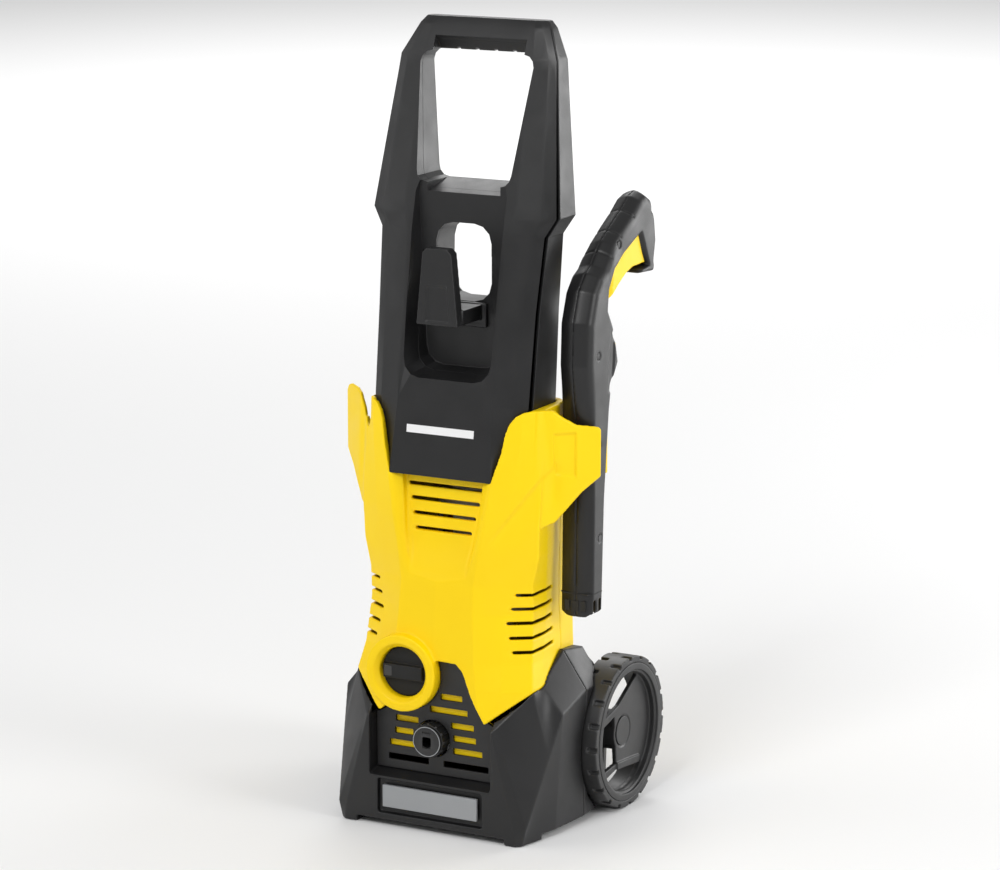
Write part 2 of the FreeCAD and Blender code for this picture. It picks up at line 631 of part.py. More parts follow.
# Rear cover: closes the back of the body and carries the rear prong of the gun's cradle
rear_hull = common(cover_hull(size(0)), rear_space)
inlet_notch = rod("y", S.inlet_x, size(20), S.inlet_z, S.inlet_thread + 6, size(40))
gland_hole = rod("y", S.gland_x, size(30), S.gland_z, S.gland_radius, size(20))
cover_bosses, cover_screw_holes, cover_screws = screw_parts(COVER_SCREWS)
rear_shell = cut(fuse(rear_hull, prong, prong_web), cover_hollow, tower_space, inlet_notch, gland_hole)
node(cut(fuse(rear_shell, *cover_bosses), *cover_screw_holes), "rear_cover")
node(fuse(*tower_screws, *cover_screws), "shell_screws")


# ---- Base --------------------------------------------------------------------------------------------------

# The base's outer section at each y: the lower, widest and upper corners of its right half, as (x, z)
FRONT_BASE_SECTIONS = [(-107.3, (82, 0), (81, 12), (59.2, 96.5)), (-104, (86, 0), (90, 14), (62, 99)),
                       (-79, (93, 0), (98.75, 71.8), (84.5, 127)), (-64, (97, 0), (104, 106.5), (84, 131)),
                       (-20, (102, 0), (104, 118), (82, 150))]
REAR_BASE_SECTIONS = [(-20, (102, 0), (104, 118), (82, 150)), (10, (100, 0), (103, 116), (85, 146)),
                      (25, (95, 0), (96, 122), (80, 135)), (66, (80, 0), (82, 90), (60, 110))]


def base_hull(table, inset=0.0, first_y=0.0, last_y=0.0):
    """A form of the base, moved inwards by an inset, with its first and last section moved along."""
    shifts = [first_y] + [0.0] * (len(table) - 2) + [last_y]
    sections = []
    for (y, foot, side, top), shift in zip(table, shifts):
        half = [(foot[0] - S.wall * inset, foot[1] + (S.wall + S.lip_z) * inset),
                (side[0] - S.wall * inset, side[1] + 0.0 * inset), (top[0] - S.wall * inset,
                                                                    top[1] - S.wall * inset)]
        sections.append((size(y) + shift, half + [(-x, z) for x, z in reversed(half)]))
    return loft("XZ", sections)


def slab(half, low_y, high_y, low_z, high_z):
    """A box across the middle of the machine."""
    return box(-half, low_y, low_z, half * 2, high_y - low_y, high_z - low_z)


cover_clearance = cover_hull(size(-0.3))
bay_frame = slab(S.bay_half + 3, size(-112), S.grille_y + 6, S.bay_sill_z - 3, size(160))
bay = slab(S.bay_half, size(-112), S.grille_y + 6.5, S.bay_sill_z, size(160))
pocket_frame = slab(S.pocket_half + 3, size(-112), S.base_front_y + S.pocket_depth + 3, S.pocket_foot_z - 3,
                    S.pocket_top_z + 3)
pocket = slab(S.pocket_half, size(-112), S.base_front_y + S.pocket_depth, S.pocket_foot_z, S.pocket_top_z)
foot_relief = fuse(slab(S.foot_inner, size(-112), size(-79.5), size(-1), S.lip_z),
                   slab(size(112), size(-80), size(70), size(-1), S.lip_z),
                   slab(size(112), size(-112), size(-79), size(-1), size(0.8)))
foot_pad = box(S.foot_inner + 1, S.base_front_y + 3.5, size(0), size(9), size(20), size(4))
foot_pads = fuse(foot_pad, mirror_x(foot_pad))
pad_seats = fuse(box(S.foot_inner, S.base_front_y + 2.5, size(-1), size(11), size(22), size(8)),
                 mirror_x(box(S.foot_inner, S.base_front_y + 2.5, size(-1), size(11), size(22), size(8))))


def wheel_arch(radius, inner_x):
    arch = rod("x", inner_x, S.wheel_y, S.wheel_z, radius, size(60))
    return fuse(arch, mirror_x(arch))


front_cavity = cut(base_hull(FRONT_BASE_SECTIONS, 1.0, S.wall, size(1)), bay_frame, pocket_frame, pad_seats,
                   wheel_arch(S.arch_radius + 3, S.arch_x - 3))
node(cut(base_hull(FRONT_BASE_SECTIONS), front_cavity, cover_clearance, bay, pocket, foot_relief, foot_pads,
         wheel_arch(S.arch_radius, S.arch_x)), "base_housing")
node(foot_pads, "foot_pads")

axle_boss = rod("x", size(66), S.wheel_y, S.wheel_z, size(10), S.arch_x - 66)
axle_hole = rod("x", size(-120), S.wheel_y, S.wheel_z, S.axle_radius, size(240))
inlet_hole = rod("y", S.inlet_x, size(50), S.inlet_z, S.inlet_thread + 0.3, size(40))
rear_cavity = cut(base_hull(REAR_BASE_SECTIONS, 1.0, size(-1), -S.wall),
                  wheel_arch(S.arch_radius + 3, S.arch_x - 3))
rear_base = cut(base_hull(REAR_BASE_SECTIONS), rear_cavity, cover_clearance,
                wheel_arch(S.arch_radius, S.arch_x),
                slab(size(112), size(-22), size(70), size(-1), S.lip_z))
node(cut(fuse(rear_base, axle_boss, mirror_x(axle_boss)), axle_hole, inlet_hole), "base_rear")

# Grille and the shield behind it
grille_half = [(size(21), S.grille_top_z - 1), (size(28), size(141.5)), (size(37), size(121.5)),
               (size(49.5), size(99.8)),
               (S.bay_half - 0.5, size(96)), (S.bay_half - 0.5, S.bay_sill_z + 0.5)]
grille_left = [(-S.bay_half + 0.5, S.bay_sill_z + 0.5), (-S.bay_half + 0.5, size(96)),
               (size(-49.5), size(99.8)),
               (size(-36), size(111)), (size(-12), S.grille_top_z - 1)]
GRILLE_SLOTS = [(4, 25, 117), (-6, 30, 105), (-39, -17, 93), (14, 36, 93), (-40, -22, 82), (16, 38, 82),
                (-45, -21, 71), (16, 44, 71), (-46, -7, 58.5), (7, 50, 58.5)]
slot_tools = [box(size(low), S.grille_y - 5, size(z) - S.grille_slot / 2, size(high - low), size(12),
                  S.grille_slot)
              for low, high, z in GRILLE_SLOTS]
node(cut(prism("XZ", S.grille_y, S.grille_y + S.grille_thick, grille_half + grille_left), *slot_tools,
         rod("y", S.outlet_x, size(-100), S.outlet_z, size(16), size(20)),
         rod("y", S.switch_x, size(-110), S.switch_z, S.switch_ring + 0.3, size(30))), "front_grille")
shield_half = S.bay_half - 0.5
shield_foot_z = S.outlet_z - 17.5
shield_outline = [(-shield_half, shield_foot_z), (shield_half, shield_foot_z), (shield_half, size(93)),
                  (size(28), size(118)), (size(24), size(138)), (size(0), size(138)), (size(0), size(112)),
                  (-shield_half, size(93))]
node(prism("XZ", S.grille_y + S.grille_thick + 0.5, S.grille_y + S.grille_thick + 2, shield_outline,
           (S.outlet_x, S.outlet_z, size(16))), "splash_shield")

# Grey grip bar in its pocket, on two posts
bar_back_y = S.base_front_y + S.bar_thick
grip = slab(S.bar_half, S.base_front_y + 0.2, bar_back_y, S.bar_foot_z, S.bar_top_z)
post_depth = S.pocket_depth - S.bar_thick
post = box(size(24), bar_back_y, S.bar_foot_z + 5, size(8), post_depth, size(8))
node(fuse(grip, post, mirror_x(post)), "grip_bar")


# ---- Switch, outlet and inlet ------------------------------------------------------------------------------

knob_y = S.switch_ring_y + 9
knob = fuse(rod("y", S.switch_x, knob_y, S.switch_z, S.switch_hole - 0.8, size(4)),
            box(S.switch_x - 18.5, knob_y - 4.5, S.switch_z - 6, size(37), size(5), size(12)),
            rod("y", S.switch_x, knob_y + 3, S.switch_z, S.knob_shaft, size(10)))
node(knob, "switch_knob")
switch_body = box(S.switch_x - 15, knob_y + 5.5, S.switch_z - 14, size(30), size(12), size(28))
node(cut(switch_body, rod("y", S.switch_x, knob_y, S.switch_z, S.knob_shaft + 0.08, size(14))),
     "rotary_switch")
node(rod("z", size(-58), size(-32), size(206), size(13), size(52)), "capacitor")

# Outlet: a fixed pipe with a collar that pushes back on it
outlet_y = S.base_front_y + 2
outlet_end_y = S.pump_y - S.block_radius + 1.5
node(tube("y", S.outlet_x, outlet_y, S.outlet_z, S.outlet_radius, S.outlet_bore, outlet_end_y - outlet_y),
     "outlet_connector")
collar = tube("y", S.outlet_x, outlet_y + 1.5, S.outlet_z, S.collar_radius, S.outlet_radius + 0.06, size(12))
collar_rib = box(S.outlet_x + S.collar_radius - 0.6, outlet_y + 2.5, S.outlet_z - 1, size(1.6), size(10),
                 size(2))
node(fuse(collar, around(collar_rib, 12, Vector(0, 1, 0), Vector(S.outlet_x.value, 0, S.outlet_z.value))),
     "outlet_collar")

# Inlet: a threaded pipe from the pump out through the back, with a filter inside
inlet_pipe = rod("y", S.inlet_x, size(-13), S.inlet_z, size(10.6), size(79))
inlet_flange = rod("y", S.inlet_x, size(66), S.inlet_z, S.inlet_thread + 3, size(3))
inlet_core = rod("y", S.inlet_x, size(69), S.inlet_z, S.inlet_thread - 1.2, S.inlet_end_y - 69)
thread_ring = rod("y", S.inlet_x, size(71.5), S.inlet_z, S.inlet_thread, size(1.1))
threads = along(thread_ring, *[(0, 1.81 * index, 0) for index in range(8)])
node(cut(fuse(inlet_pipe, inlet_flange, inlet_core, threads),
         rod("y", S.inlet_x, size(-14), S.inlet_z, S.inlet_bore, size(110))), "water_inlet")
filter_shell = tube("y", S.inlet_x, size(58), S.inlet_z, S.inlet_bore - 0.1, S.inlet_bore - 1.6, size(26))
filter_end = rod("y", S.inlet_x, size(56.5), S.inlet_z, S.inlet_bore - 0.1, size(1.5))
filter_hole = box(S.inlet_x - 1.2, size(61), S.inlet_z - 12, size(2.4), size(18), size(24))
node(cut(fuse(filter_shell, filter_end),
         around(filter_hole, 6, Vector(0, 1, 0), Vector(S.inlet_x.value, 0, S.inlet_z.value))),
         "inlet_filter")
gland = fuse(rod("y", S.gland_x, size(32), S.gland_z, S.gland_radius - 0.1, size(12)),
             rod("y", S.gland_x, size(41.2), S.gland_z, S.gland_radius + 3, size(2)),
             cone("y", S.gland_x, size(43), S.gland_z, S.gland_radius - 1, S.gland_radius - 3, size(20)))
node(cut(gland, rod("y", S.gland_x, size(30), S.gland_z, size(4), size(40))), "cable_gland")


# ---- Wheels ------------------------------------------------------------------------------------------------

AXLE_CENTRE = Vector(0, S.wheel_y.value, S.wheel_z.value)
X_AXIS = Vector(1, 0, 0)
wheel_width = S.wheel_outer_x - S.wheel_inner_x
plate_face_x = S.wheel_outer_x - S.plate_sunk


def wheel_point(radius, degrees):
    """A place on the wheel's side, as (y, z), from its distance and angle from the axle."""
    angle = math.radians(degrees)
    return S.wheel_y + radius * math.cos(angle), S.wheel_z + radius * math.sin(angle)


def plate_openings():
    """The three openings in the wheel's plate, each bounded by the rim on its outer side."""
    spans = [((58, 162), [(32, 139), (26, 108)]), ((171, 215), [(29, 245), (23, 135)]),
             ((225, 316), [(47, 310), (34, 249)])]
    openings = []
    for (first, last), inner in spans:
        steps = [first + (last - first) * index / 8 for index in range(9)]
        outline = [wheel_point(S.rim_inner - 0.6, degrees) for degrees in steps]
        outline += [wheel_point(radius, degrees) for radius, degrees in inner]
        openings.append(prism("YZ", S.wheel_inner_x, S.wheel_outer_x, outline))
    return fuse(*openings)


def rim():
    """Rim with a stepped lip, sunk plate with three openings, and hub of the right wheel."""
    ring = tube("x", S.wheel_inner_x, S.wheel_y, S.wheel_z, S.tyre_seat, S.rim_inner, wheel_width)
    plate = rod("x", plate_face_x - 4, S.wheel_y, S.wheel_z, S.rim_inner + 1, size(4))
    band = prism("YZ", plate_face_x - 2, plate_face_x + 1.5, [wheel_point(radius, degrees) for radius,
                                                              degrees in
                                                          [(34, 249), (47, 310), (42.5, 316.5),
                                                           (28.5, 243.5)]])
    hub = rod("x", S.wheel_inner_x, S.wheel_y, S.wheel_z, S.hub_radius, plate_face_x - S.wheel_inner_x)
    axle_bore = rod("x", size(80), S.wheel_y, S.wheel_z, S.axle_radius + S.axle_fit, size(40))
    cap_recess = rod("x", plate_face_x - 5.4, S.wheel_y, S.wheel_z, S.cap_radius + 0.2, size(12))
    lip_step = rod("x", S.wheel_outer_x - 2.5, S.wheel_y, S.wheel_z, S.rim_inner + 2.2, size(5))
    return cut(fuse(ring, cut(plate, plate_openings()), band, hub), axle_bore, cap_recess, lip_step)


def tyre():
    """Ring of tread blocks round the right wheel."""
    ring = tube("x", S.wheel_inner_x + 0.5, S.wheel_y, S.wheel_z, S.tyre_radius, S.tyre_seat + 0.1,
                wheel_width - 1)
    groove_foot_z = S.wheel_z + S.tyre_radius - S.tread_depth
    grooves = [around(box(low_x, S.wheel_y - S.tread_gap / 2, groove_foot_z, size(12), S.tread_gap,
                          size(10)), 20,
                      X_AXIS, AXLE_CENTRE, first_angle)
               for low_x, first_angle in ((S.wheel_outer_x - 9, 0.0), (S.wheel_inner_x - 3, 9.0))]
    return cut(ring, *grooves)


right_rim = rim()
right_tyre = tyre()
right_cap = rod("x", plate_face_x - 3, S.wheel_y, S.wheel_z, S.cap_radius, size(3.2))
node(right_rim, "right_wheel")
node(mirror_x(right_rim), "left_wheel")
node(right_tyre, "right_tyre")
node(mirror_x(right_tyre), "left_tyre")
node(right_cap, "right_hub_cap")
node(mirror_x(right_cap), "left_hub_cap")
axle_end_x = plate_face_x - 3.4
node(rod("x", -axle_end_x, S.wheel_y, S.wheel_z, S.axle_radius, axle_end_x * 2), "wheel_axle")
retainer = tube("x", S.arch_x, S.wheel_y, S.wheel_z, size(8), S.axle_radius, size(1.6))
clip = tube("x", axle_end_x - 1.1, S.wheel_y, S.wheel_z, size(7), S.axle_radius, size(0.9))
node(fuse(retainer, clip, mirror_x(retainer), mirror_x(clip)), "axle_retainers")


# ---- Pump --------------------------------------------------------------------------------------------------

PUMP_CENTRE = Vector(0, S.pump_y.value, 0)
Z_AXIS = Vector(0, 0, 1)
PISTON_COUNT = 3
BOLT_ANGLE = 30.0


def round_pump(thing, count=PISTON_COUNT, first_angle=0.0):
    """Evenly turned copies of a shape about the pump's axis."""
    return around(thing, count, Z_AXIS, PUMP_CENTRE, first_angle)


def on_pump(radius, low_z, high_z, offset=0.0):
    """A cylinder beside the pump's axis, towards the front."""
    return rod("z", size(0), S.pump_y - offset, low_z, radius, high_z - low_z)


ear = on_pump(size(6.5), S.block_top_z - 8, S.block_top_z, S.bolt_circle)
ear_web = box(size(-6.5), S.pump_y - S.bolt_circle, S.block_top_z - 8, size(13), size(12), size(8))
block_bore = on_pump(S.piston_radius + 0.05, S.valve_foot_z, S.block_top_z + 1, S.piston_circle)
outlet_bore = rod("y", S.outlet_x, size(-95), S.outlet_z, S.outlet_bore, size(28))
outlet_seat = rod("y", S.outlet_x, size(-95), S.outlet_z, size(13), S.pump_y - S.block_radius + 1.5 + 95)
inlet_bore = rod("y", S.inlet_x, size(-22), S.inlet_z, S.inlet_bore, size(30))
pump_block = cut(fuse(on_pump(S.block_radius, S.block_foot_z, S.block_top_z),
                      round_pump(fuse(ear, ear_web), 4, BOLT_ANGLE)),
                 round_pump(block_bore), outlet_bore, inlet_bore,
                 rod("y", S.inlet_x, size(-13), S.inlet_z, size(14), size(20)),
                 outlet_seat,
                 round_pump(on_pump(S.bolt_radius, size(50), S.block_top_z + 1, S.bolt_circle), 4,
                            BOLT_ANGLE))
node(pump_block, "pump_block")

valve = fuse(on_pump(S.piston_radius - 0.2, S.valve_foot_z, S.valve_foot_z + 4, S.piston_circle),
             on_pump(S.piston_radius - 2, S.valve_foot_z + 4, S.valve_foot_z + 9, S.piston_circle))
node(round_pump(valve), "pump_valves")
piston = fuse(on_pump(S.piston_radius, S.valve_foot_z + 12, S.piston_top_z, S.piston_circle),
              on_pump(S.piston_radius + 2.4, S.piston_top_z - 3, S.piston_top_z - 0.4, S.piston_circle))
node(round_pump(piston), "pistons")
seal = cut(on_pump(S.piston_radius + 3, S.block_top_z, S.block_top_z + 2.4, S.piston_circle),
           on_pump(S.piston_radius + 0.05, S.block_top_z - 1, S.block_top_z + 4, S.piston_circle))
node(round_pump(seal), "piston_seals")


def coil_spring(radius, wire, pitch, height):
    """A helical spring that stands on its end at the origin."""
    per_turn = 16
    count = round(height / pitch * per_turn)
    sections = []
    for index in range(count + 1):
        rise = height * index / count
        angle = 360.0 / per_turn * index
        corners = [Vector(radius + wire * u, 0, rise + wire * v)
                   for u, v in ((1, 0.4), (0.4, 1), (-0.4, 1), (-1, 0.4), (-1, -0.4), (-0.4, -1), (0.4, -1),
                                (1, -0.4))]
        section = Part.makePolygon(corners + corners[:1])
        section.rotate(Vector(), Z_AXIS, angle)
        sections.append(section)
    return Part.makeLoft(sections, True, True)


def piston_springs():
    """The return spring round each piston, from its seal to its head."""
    foot_z = DIMENSIONS["block_top_z"] + 3.6
    height = DIMENSIONS["piston_top_z"] - 3 - 1.1 - foot_z
    spring = coil_spring(DIMENSIONS["piston_radius"] + 1.4, 0.7, height / 3, height)
    springs = []
    for index in range(PISTON_COUNT):
        solid = spring.copy()
        solid.translate(Vector(0, DIMENSIONS["pump_y"] - DIMENSIONS["piston_circle"], foot_z))
        solid.rotate(PUMP_CENTRE, Z_AXIS, 360.0 / PISTON_COUNT * index)
        springs.append(solid)
    feature = doc.addObject("Part::Feature", "Springs")
    feature.Shape = Part.makeCompound(springs)
    return feature


node(piston_springs(), "piston_springs")

# Gears: involute teeth, the pinion shifted by half a pitch so that a tooth of one meets a gap of the other


def involute_half_tooth(base_radius, tip_radius, half_angle, steps=5):
    """Polar points up one flank, as (radius, angle from the middle of the tooth)."""
    points = []
    for step in range(steps + 1):
        radius = base_radius + (tip_radius - base_radius) * step / steps
        pressure = math.acos(min(1.0, base_radius / radius))
        points.append((radius, half_angle - (math.tan(pressure) - pressure)))
    return points


def gear_face(teeth, module, addendum, first_angle, backlash=0.22):
    """Flat outline of a spur gear with 20 degree teeth, the first one centred on an angle."""
    pitch_radius = module * teeth / 2
    base_radius = pitch_radius * math.cos(math.radians(20))
    root_radius = pitch_radius - 1.25 * module
    tooth_angle = math.pi / 2 / teeth - backlash / 2 / pitch_radius
    half_angle = tooth_angle + math.tan(math.radians(20)) - math.radians(20)
    flank = involute_half_tooth(max(base_radius, root_radius + 0.05), pitch_radius + addendum, half_angle)
    tooth = [(root_radius, -flank[0][1])] + [(radius, -angle) for radius, angle in flank]
    tooth = tooth + [(radius, angle) for radius, angle in reversed(flank)] + [(root_radius, flank[0][1])]
    corners = []
    for index in range(teeth):
        middle = first_angle + 2 * math.pi * index / teeth
        corners += [Vector(radius * math.cos(middle + angle), radius * math.sin(middle + angle), 0)
                    for radius, angle in tooth]
    return Part.Face(Part.makePolygon(corners + corners[:1]))


def spur_gear(teeth, addendum, first_angle, x, y, z, width):
    feature = doc.addObject("Part::Feature", "Gear")
    feature.Shape = gear_face(int(teeth), DIMENSIONS["gear_module"], addendum, first_angle).extrude(
        Vector(0, 0, width))
    feature.Placement = Placement(Vector(x, y, z), Rotation())
    return feature


gear_tip = 1.0
half_gap = math.pi / DIMENSIONS["gear_teeth"]
gear = spur_gear(DIMENSIONS["gear_teeth"], gear_tip, math.pi / 2 + half_gap, 0, DIMENSIONS["pump_y"],
                 DIMENSIONS["gear_z"], DIMENSIONS["gear_width"])
pinion = spur_gear(DIMENSIONS["pinion_teeth"], DIMENSIONS["gear_module"], -math.pi / 2, 0,
                   DIMENSIONS["motor_y"],
                   DIMENSIONS["gear_z"] + 0.4, DIMENSIONS["gear_width"] + 1)
node(cut(pinion, rod("z", size(0), S.motor_y, size(140), S.shaft_radius, size(40))), "drive_pinion")
node(fuse(gear, on_pump(S.swash_shaft, S.gear_z + S.gear_width, S.gearbox_top_z - 3.2)), "driven_gear")


def tilted_slab(low_z, high_z):
    """A wide slab tilted by the swash angle about the pump's axis."""
    slab_solid = doc.addObject("Part::Cylinder", "Slab")
    set_length(slab_solid, "Radius", size(60))
    set_length(slab_solid, "Height", size(high_z - low_z))
    tilt = Rotation(Vector(1, 0, 0), DIMENSIONS["swash_tilt"])
    slab_solid.Placement = Placement(Vector(0, DIMENSIONS["pump_y"], 0), Rotation()).multiply(
        Placement(Vector(0, 0, DIMENSIONS["swash_z"]), tilt)).multiply(Placement(Vector(0, 0, low_z),
                                                                                 Rotation()))
    return slab_solid


node(common(on_pump(S.swash_radius, size(120), S.gear_z), tilted_slab(0, 60)), "swash_plate")
node(common(cut(on_pump(S.swash_radius, size(110), size(150)), on_pump(S.swash_radius - 11, size(100),
                                                                       size(160))),
            tilted_slab(-3.2, 0)), "thrust_bearing")

# Gearbox: a skirt down to the pump block, a case round both gears and a top with the bearing seats
case_half = [(size(20), S.pump_y - 38), (size(33), S.pump_y - 30), (size(38), S.pump_y - 14),
             (size(38), S.pump_y + 16),
             (size(20), S.motor_y + 17)]
case_outline = case_half + [(-x, y) for x, y in reversed(case_half)]
case_ear = on_pump(size(6.5), S.block_top_z, S.block_top_z + 9, S.bolt_circle)
case_ear_web = box(size(-6.5), S.pump_y - S.bolt_circle, S.block_top_z, size(13), size(10), size(9))
gearbox = cut(fuse(on_pump(size(35), S.block_top_z, size(150)), round_pump(fuse(case_ear, case_ear_web), 4,
                                                                           BOLT_ANGLE),
                   prism("XY", size(144), S.gearbox_top_z, case_outline)),
              on_pump(size(31), S.block_top_z - 1, S.gear_z + S.gear_width + 1),
              rod("z", size(0), S.motor_y, size(148), size(11.5), S.gearbox_top_z - 147),
              on_pump(size(13), size(150), S.gearbox_top_z - 3),
              round_pump(on_pump(S.bolt_radius, S.block_top_z - 1, size(160), S.bolt_circle), 4, BOLT_ANGLE))
node(gearbox, "gearbox_housing")
bearing_foot_z = S.gear_z + S.gear_width + 2
node(cut(on_pump(size(13), bearing_foot_z, S.gearbox_top_z - 3),
         on_pump(S.swash_shaft + 0.05, size(150), S.gearbox_top_z)), "swash_bearing")
bolt = fuse(on_pump(S.bolt_radius, S.block_top_z - 8, S.block_top_z + 9, S.bolt_circle),
            on_pump(size(4.6), S.block_top_z - 12, S.block_top_z - 8, S.bolt_circle))
node(round_pump(bolt, 4, BOLT_ANGLE), "pump_bolts")
bypass = fuse(rod("x", size(31), S.pump_y - 12, size(80), size(7.5), size(20)),
              rod("x", size(51), S.pump_y - 12, size(80), size(5.5), size(6)))
node(cut(bypass, on_pump(S.block_radius, size(50), size(120))), "bypass_valve")


# ---- Motor -------------------------------------------------------------------------------------------------

MOTOR_CENTRE = Vector(0, S.motor_y.value, 0)


def on_motor(radius, low_z, high_z):
    """A cylinder on the motor's axis."""
    return rod("z", size(0), S.motor_y, low_z, radius, high_z - low_z)


def motor_ring(outer, inner, low_z, high_z):
    return tube("z", size(0), S.motor_y, low_z, outer, inner, high_z - low_z)


stator_top_z = S.stator_foot_z + S.stator_height
frame_outer = S.stator_radius + 3.2
frame_inner = S.stator_radius + 0.1
bearing_z = S.stator_foot_z - 9
window = box(frame_inner - 6, S.motor_y - 11, stator_top_z + 2, size(20), size(22), size(24))
lower_window = box(frame_inner - 6, S.motor_y - 11, S.stator_foot_z + 4, size(20), size(22), size(46))
cage = cut(motor_ring(frame_outer, frame_inner, bearing_z + 3, S.bridge_z + 4),
           around(window, 6, Z_AXIS, MOTOR_CENTRE), around(lower_window, 6, Z_AXIS, MOTOR_CENTRE))
floor_plate = motor_ring(frame_outer, size(11), bearing_z + 1, bearing_z + 5)
bridge_bar = box(-frame_outer + 1, S.motor_y - 9, S.bridge_z, frame_outer * 2 - 2, size(18), size(4))
bridge_seat = motor_ring(size(14), size(11), S.bridge_z - 6, S.bridge_z + 4)
node(cut(fuse(cage, floor_plate, bridge_bar, bridge_seat), on_motor(size(11), S.bridge_z - 7, S.bridge_z + 5),
         on_motor(size(11), bearing_z - 1, bearing_z + 6)), "motor_frame")
node(fuse(motor_ring(size(11), S.shaft_radius + 0.05, bearing_z - 1, bearing_z + 5),
          motor_ring(size(11), S.shaft_radius + 0.05, S.bridge_z - 5, S.bridge_z + 3)), "motor_bearings")

stator_slot = box(S.stator_bore - 3, S.motor_y - 7, S.stator_foot_z - 1, size(9), size(14),
                  S.stator_height + 2)
node(cut(motor_ring(S.stator_radius, S.stator_bore, S.stator_foot_z, stator_top_z),
         around(stator_slot, 2, Z_AXIS, MOTOR_CENTRE)), "motor_stator")
coil_window = box(size(-60), S.motor_y - 3, S.stator_foot_z - 20, size(120), size(6), size(120))
coil_ends = fuse(motor_ring(S.stator_radius - 3, S.stator_bore + 2, S.stator_foot_z - 3.5, S.stator_foot_z),
                 motor_ring(S.stator_radius - 3, S.stator_bore + 2, stator_top_z, stator_top_z + 11))
node(cut(coil_ends, coil_window), "field_coils")

rotor_slot = box(S.rotor_radius - 5, S.motor_y - 1, S.stator_foot_z, size(8), size(2), S.stator_height + 2)
node(cut(motor_ring(S.rotor_radius, S.shaft_radius, S.stator_foot_z + 2, stator_top_z - 2),
         around(rotor_slot, 12, Z_AXIS, MOTOR_CENTRE)), "rotor_core")
node(on_motor(S.shaft_radius, S.shaft_foot_z, S.shaft_top_z), "motor_shaft")
commutator_slot = box(S.commutator_radius - 2, S.motor_y - 0.3, size(240), size(4), size(0.6), size(40))
node(cut(motor_ring(S.commutator_radius, S.shaft_radius, stator_top_z + 4, stator_top_z + 20),
         around(commutator_slot, 16, Z_AXIS, MOTOR_CENTRE)), "commutator")
brush = box(S.commutator_radius + 0.2, S.motor_y - 3, stator_top_z + 12.2, size(14), size(6), size(6))
holder = cut(box(S.commutator_radius + 2, S.motor_y - 5, stator_top_z + 11.2, size(20), size(10), size(8)),
             box(S.commutator_radius, S.motor_y - 3, stator_top_z + 12.2, size(14.2), size(6), size(6)))
node(fuse(brush, mirror_x(brush)), "carbon_brushes")
node(fuse(holder, mirror_x(holder)), "brush_holders")
blade_solid = box(size(8), S.motor_y - 0.8, S.fan_z, size(24), size(1.6), size(9))
node(cut(fuse(motor_ring(size(33), S.shaft_radius, S.fan_z, S.fan_z + 1.6),
              motor_ring(size(9), S.shaft_radius, S.fan_z, S.fan_z + 10),
              around(blade_solid, 9, Z_AXIS, MOTOR_CENTRE)), on_motor(S.shaft_radius, S.fan_z - 1,
                                                                      S.fan_z + 12)),
     "cooling_fan")


# ---- Trigger gun -------------------------------------------------------------------------------------------

gun_profile = [(size(y), size(z)) for y, z in [
    (-34, 184), (-32.5, 284), (-34.5, 350), (-38, 368), (-42, 398), (-40.5, 434), (-31, 460), (-19, 473),
    (-9, 478),
    (9, 496), (28, 507.5), (46, 517.5), (60, 527), (72, 530.5), (85, 524), (93.5, 506), (96.5, 486),
    (93, 469),
    (86, 460), (62, 461.5), (61, 465.5), (77, 467), (61, 494), (32, 482), (10, 472), (0, 457), (-2, 441),
    (7, 427),
    (13.5, 409), (17.5, 394), (5, 376), (1, 356), (-7, 282), (-11, 184)]]
gun_cavity = [(size(y), size(z)) for y, z in [
    (-31, 180), (-29.8, 284), (-31.6, 350), (-35, 369), (-38.8, 399), (-37.4, 432), (-28.5, 457), (-17, 469),
    (-7, 474), (-4, 468), (-6, 441), (3, 425), (9.8, 408), (12.5, 395), (1.5, 378), (-2.6, 356), (-10.2, 282),
    (-14, 180)]]
grip_cavity = [(size(y), size(z)) for y, z in [(62, 500), (83, 470), (92, 471), (92.5, 486), (89.5, 503),
                                               (82, 519),
                                              (72, 526), (62, 523)]]
trigger_profile = [(size(y), size(z)) for y, z in [
    (-14, 452), (-8, 446), (2, 444), (12, 449), (26, 458), (40, 465.5), (52, 468.8), (75, 469.4), (69, 480),
    (60, 500),
    (40, 492), (14, 482), (2, 474), (-4, 462), (-12, 458)]]
trigger_slot = [(size(y), size(z)) for y, z in [
    (-17, 446), (-8, 441), (10, 441), (40, 460), (59, 466.6), (79.5, 467.6), (79.5, 476), (77, 482),
    (68, 497),
    (58, 512), (33, 502), (7, 489), (-4, 479), (-14, 468), (-17, 460)]]
inner_half = S.gun_half - S.gun_wall


def on_gun(radius, y, z, low_x, high_x):
    """A cylinder across the gun, between two distances from its middle."""
    return rod("x", S.gun_x + low_x, y, z, radius, high_x - low_x)


def barrel_chamfer(side):
    """A wedge along one front corner of the barrel."""
    corners = [(S.gun_x + 9.5 * side, size(-36)), (S.gun_x + 16.5 * side, size(-36)),
               (S.gun_x + 16.5 * side, size(-29))]
    return prism("XY", size(170), S.wing_top_z + 4, corners)


def pared(profile, margin):
    """A profile with its corners moved inwards, less so at the thin bar under the trigger."""
    points = [(y.value, z.value) for y, z in profile]
    moved = []
    for index, (y, z) in enumerate(points):
        turns = []
        for (y1, z1), (y2, z2) in ((points[index - 1], (y, z)), ((y, z), points[(index + 1) % len(points)])):
            length = math.hypot(y2 - y1, z2 - z1)
            turns.append(((z2 - z1) / length, (y1 - y2) / length))
        (a, b), (c, d) = turns
        reach = (0.35 if y > 55 and z < 470 else 1.0) * margin / (1 + a * c + b * d)
        moved.append((profile[index][0] + reach * (a + c), profile[index][1] + reach * (b + d)))
    return moved


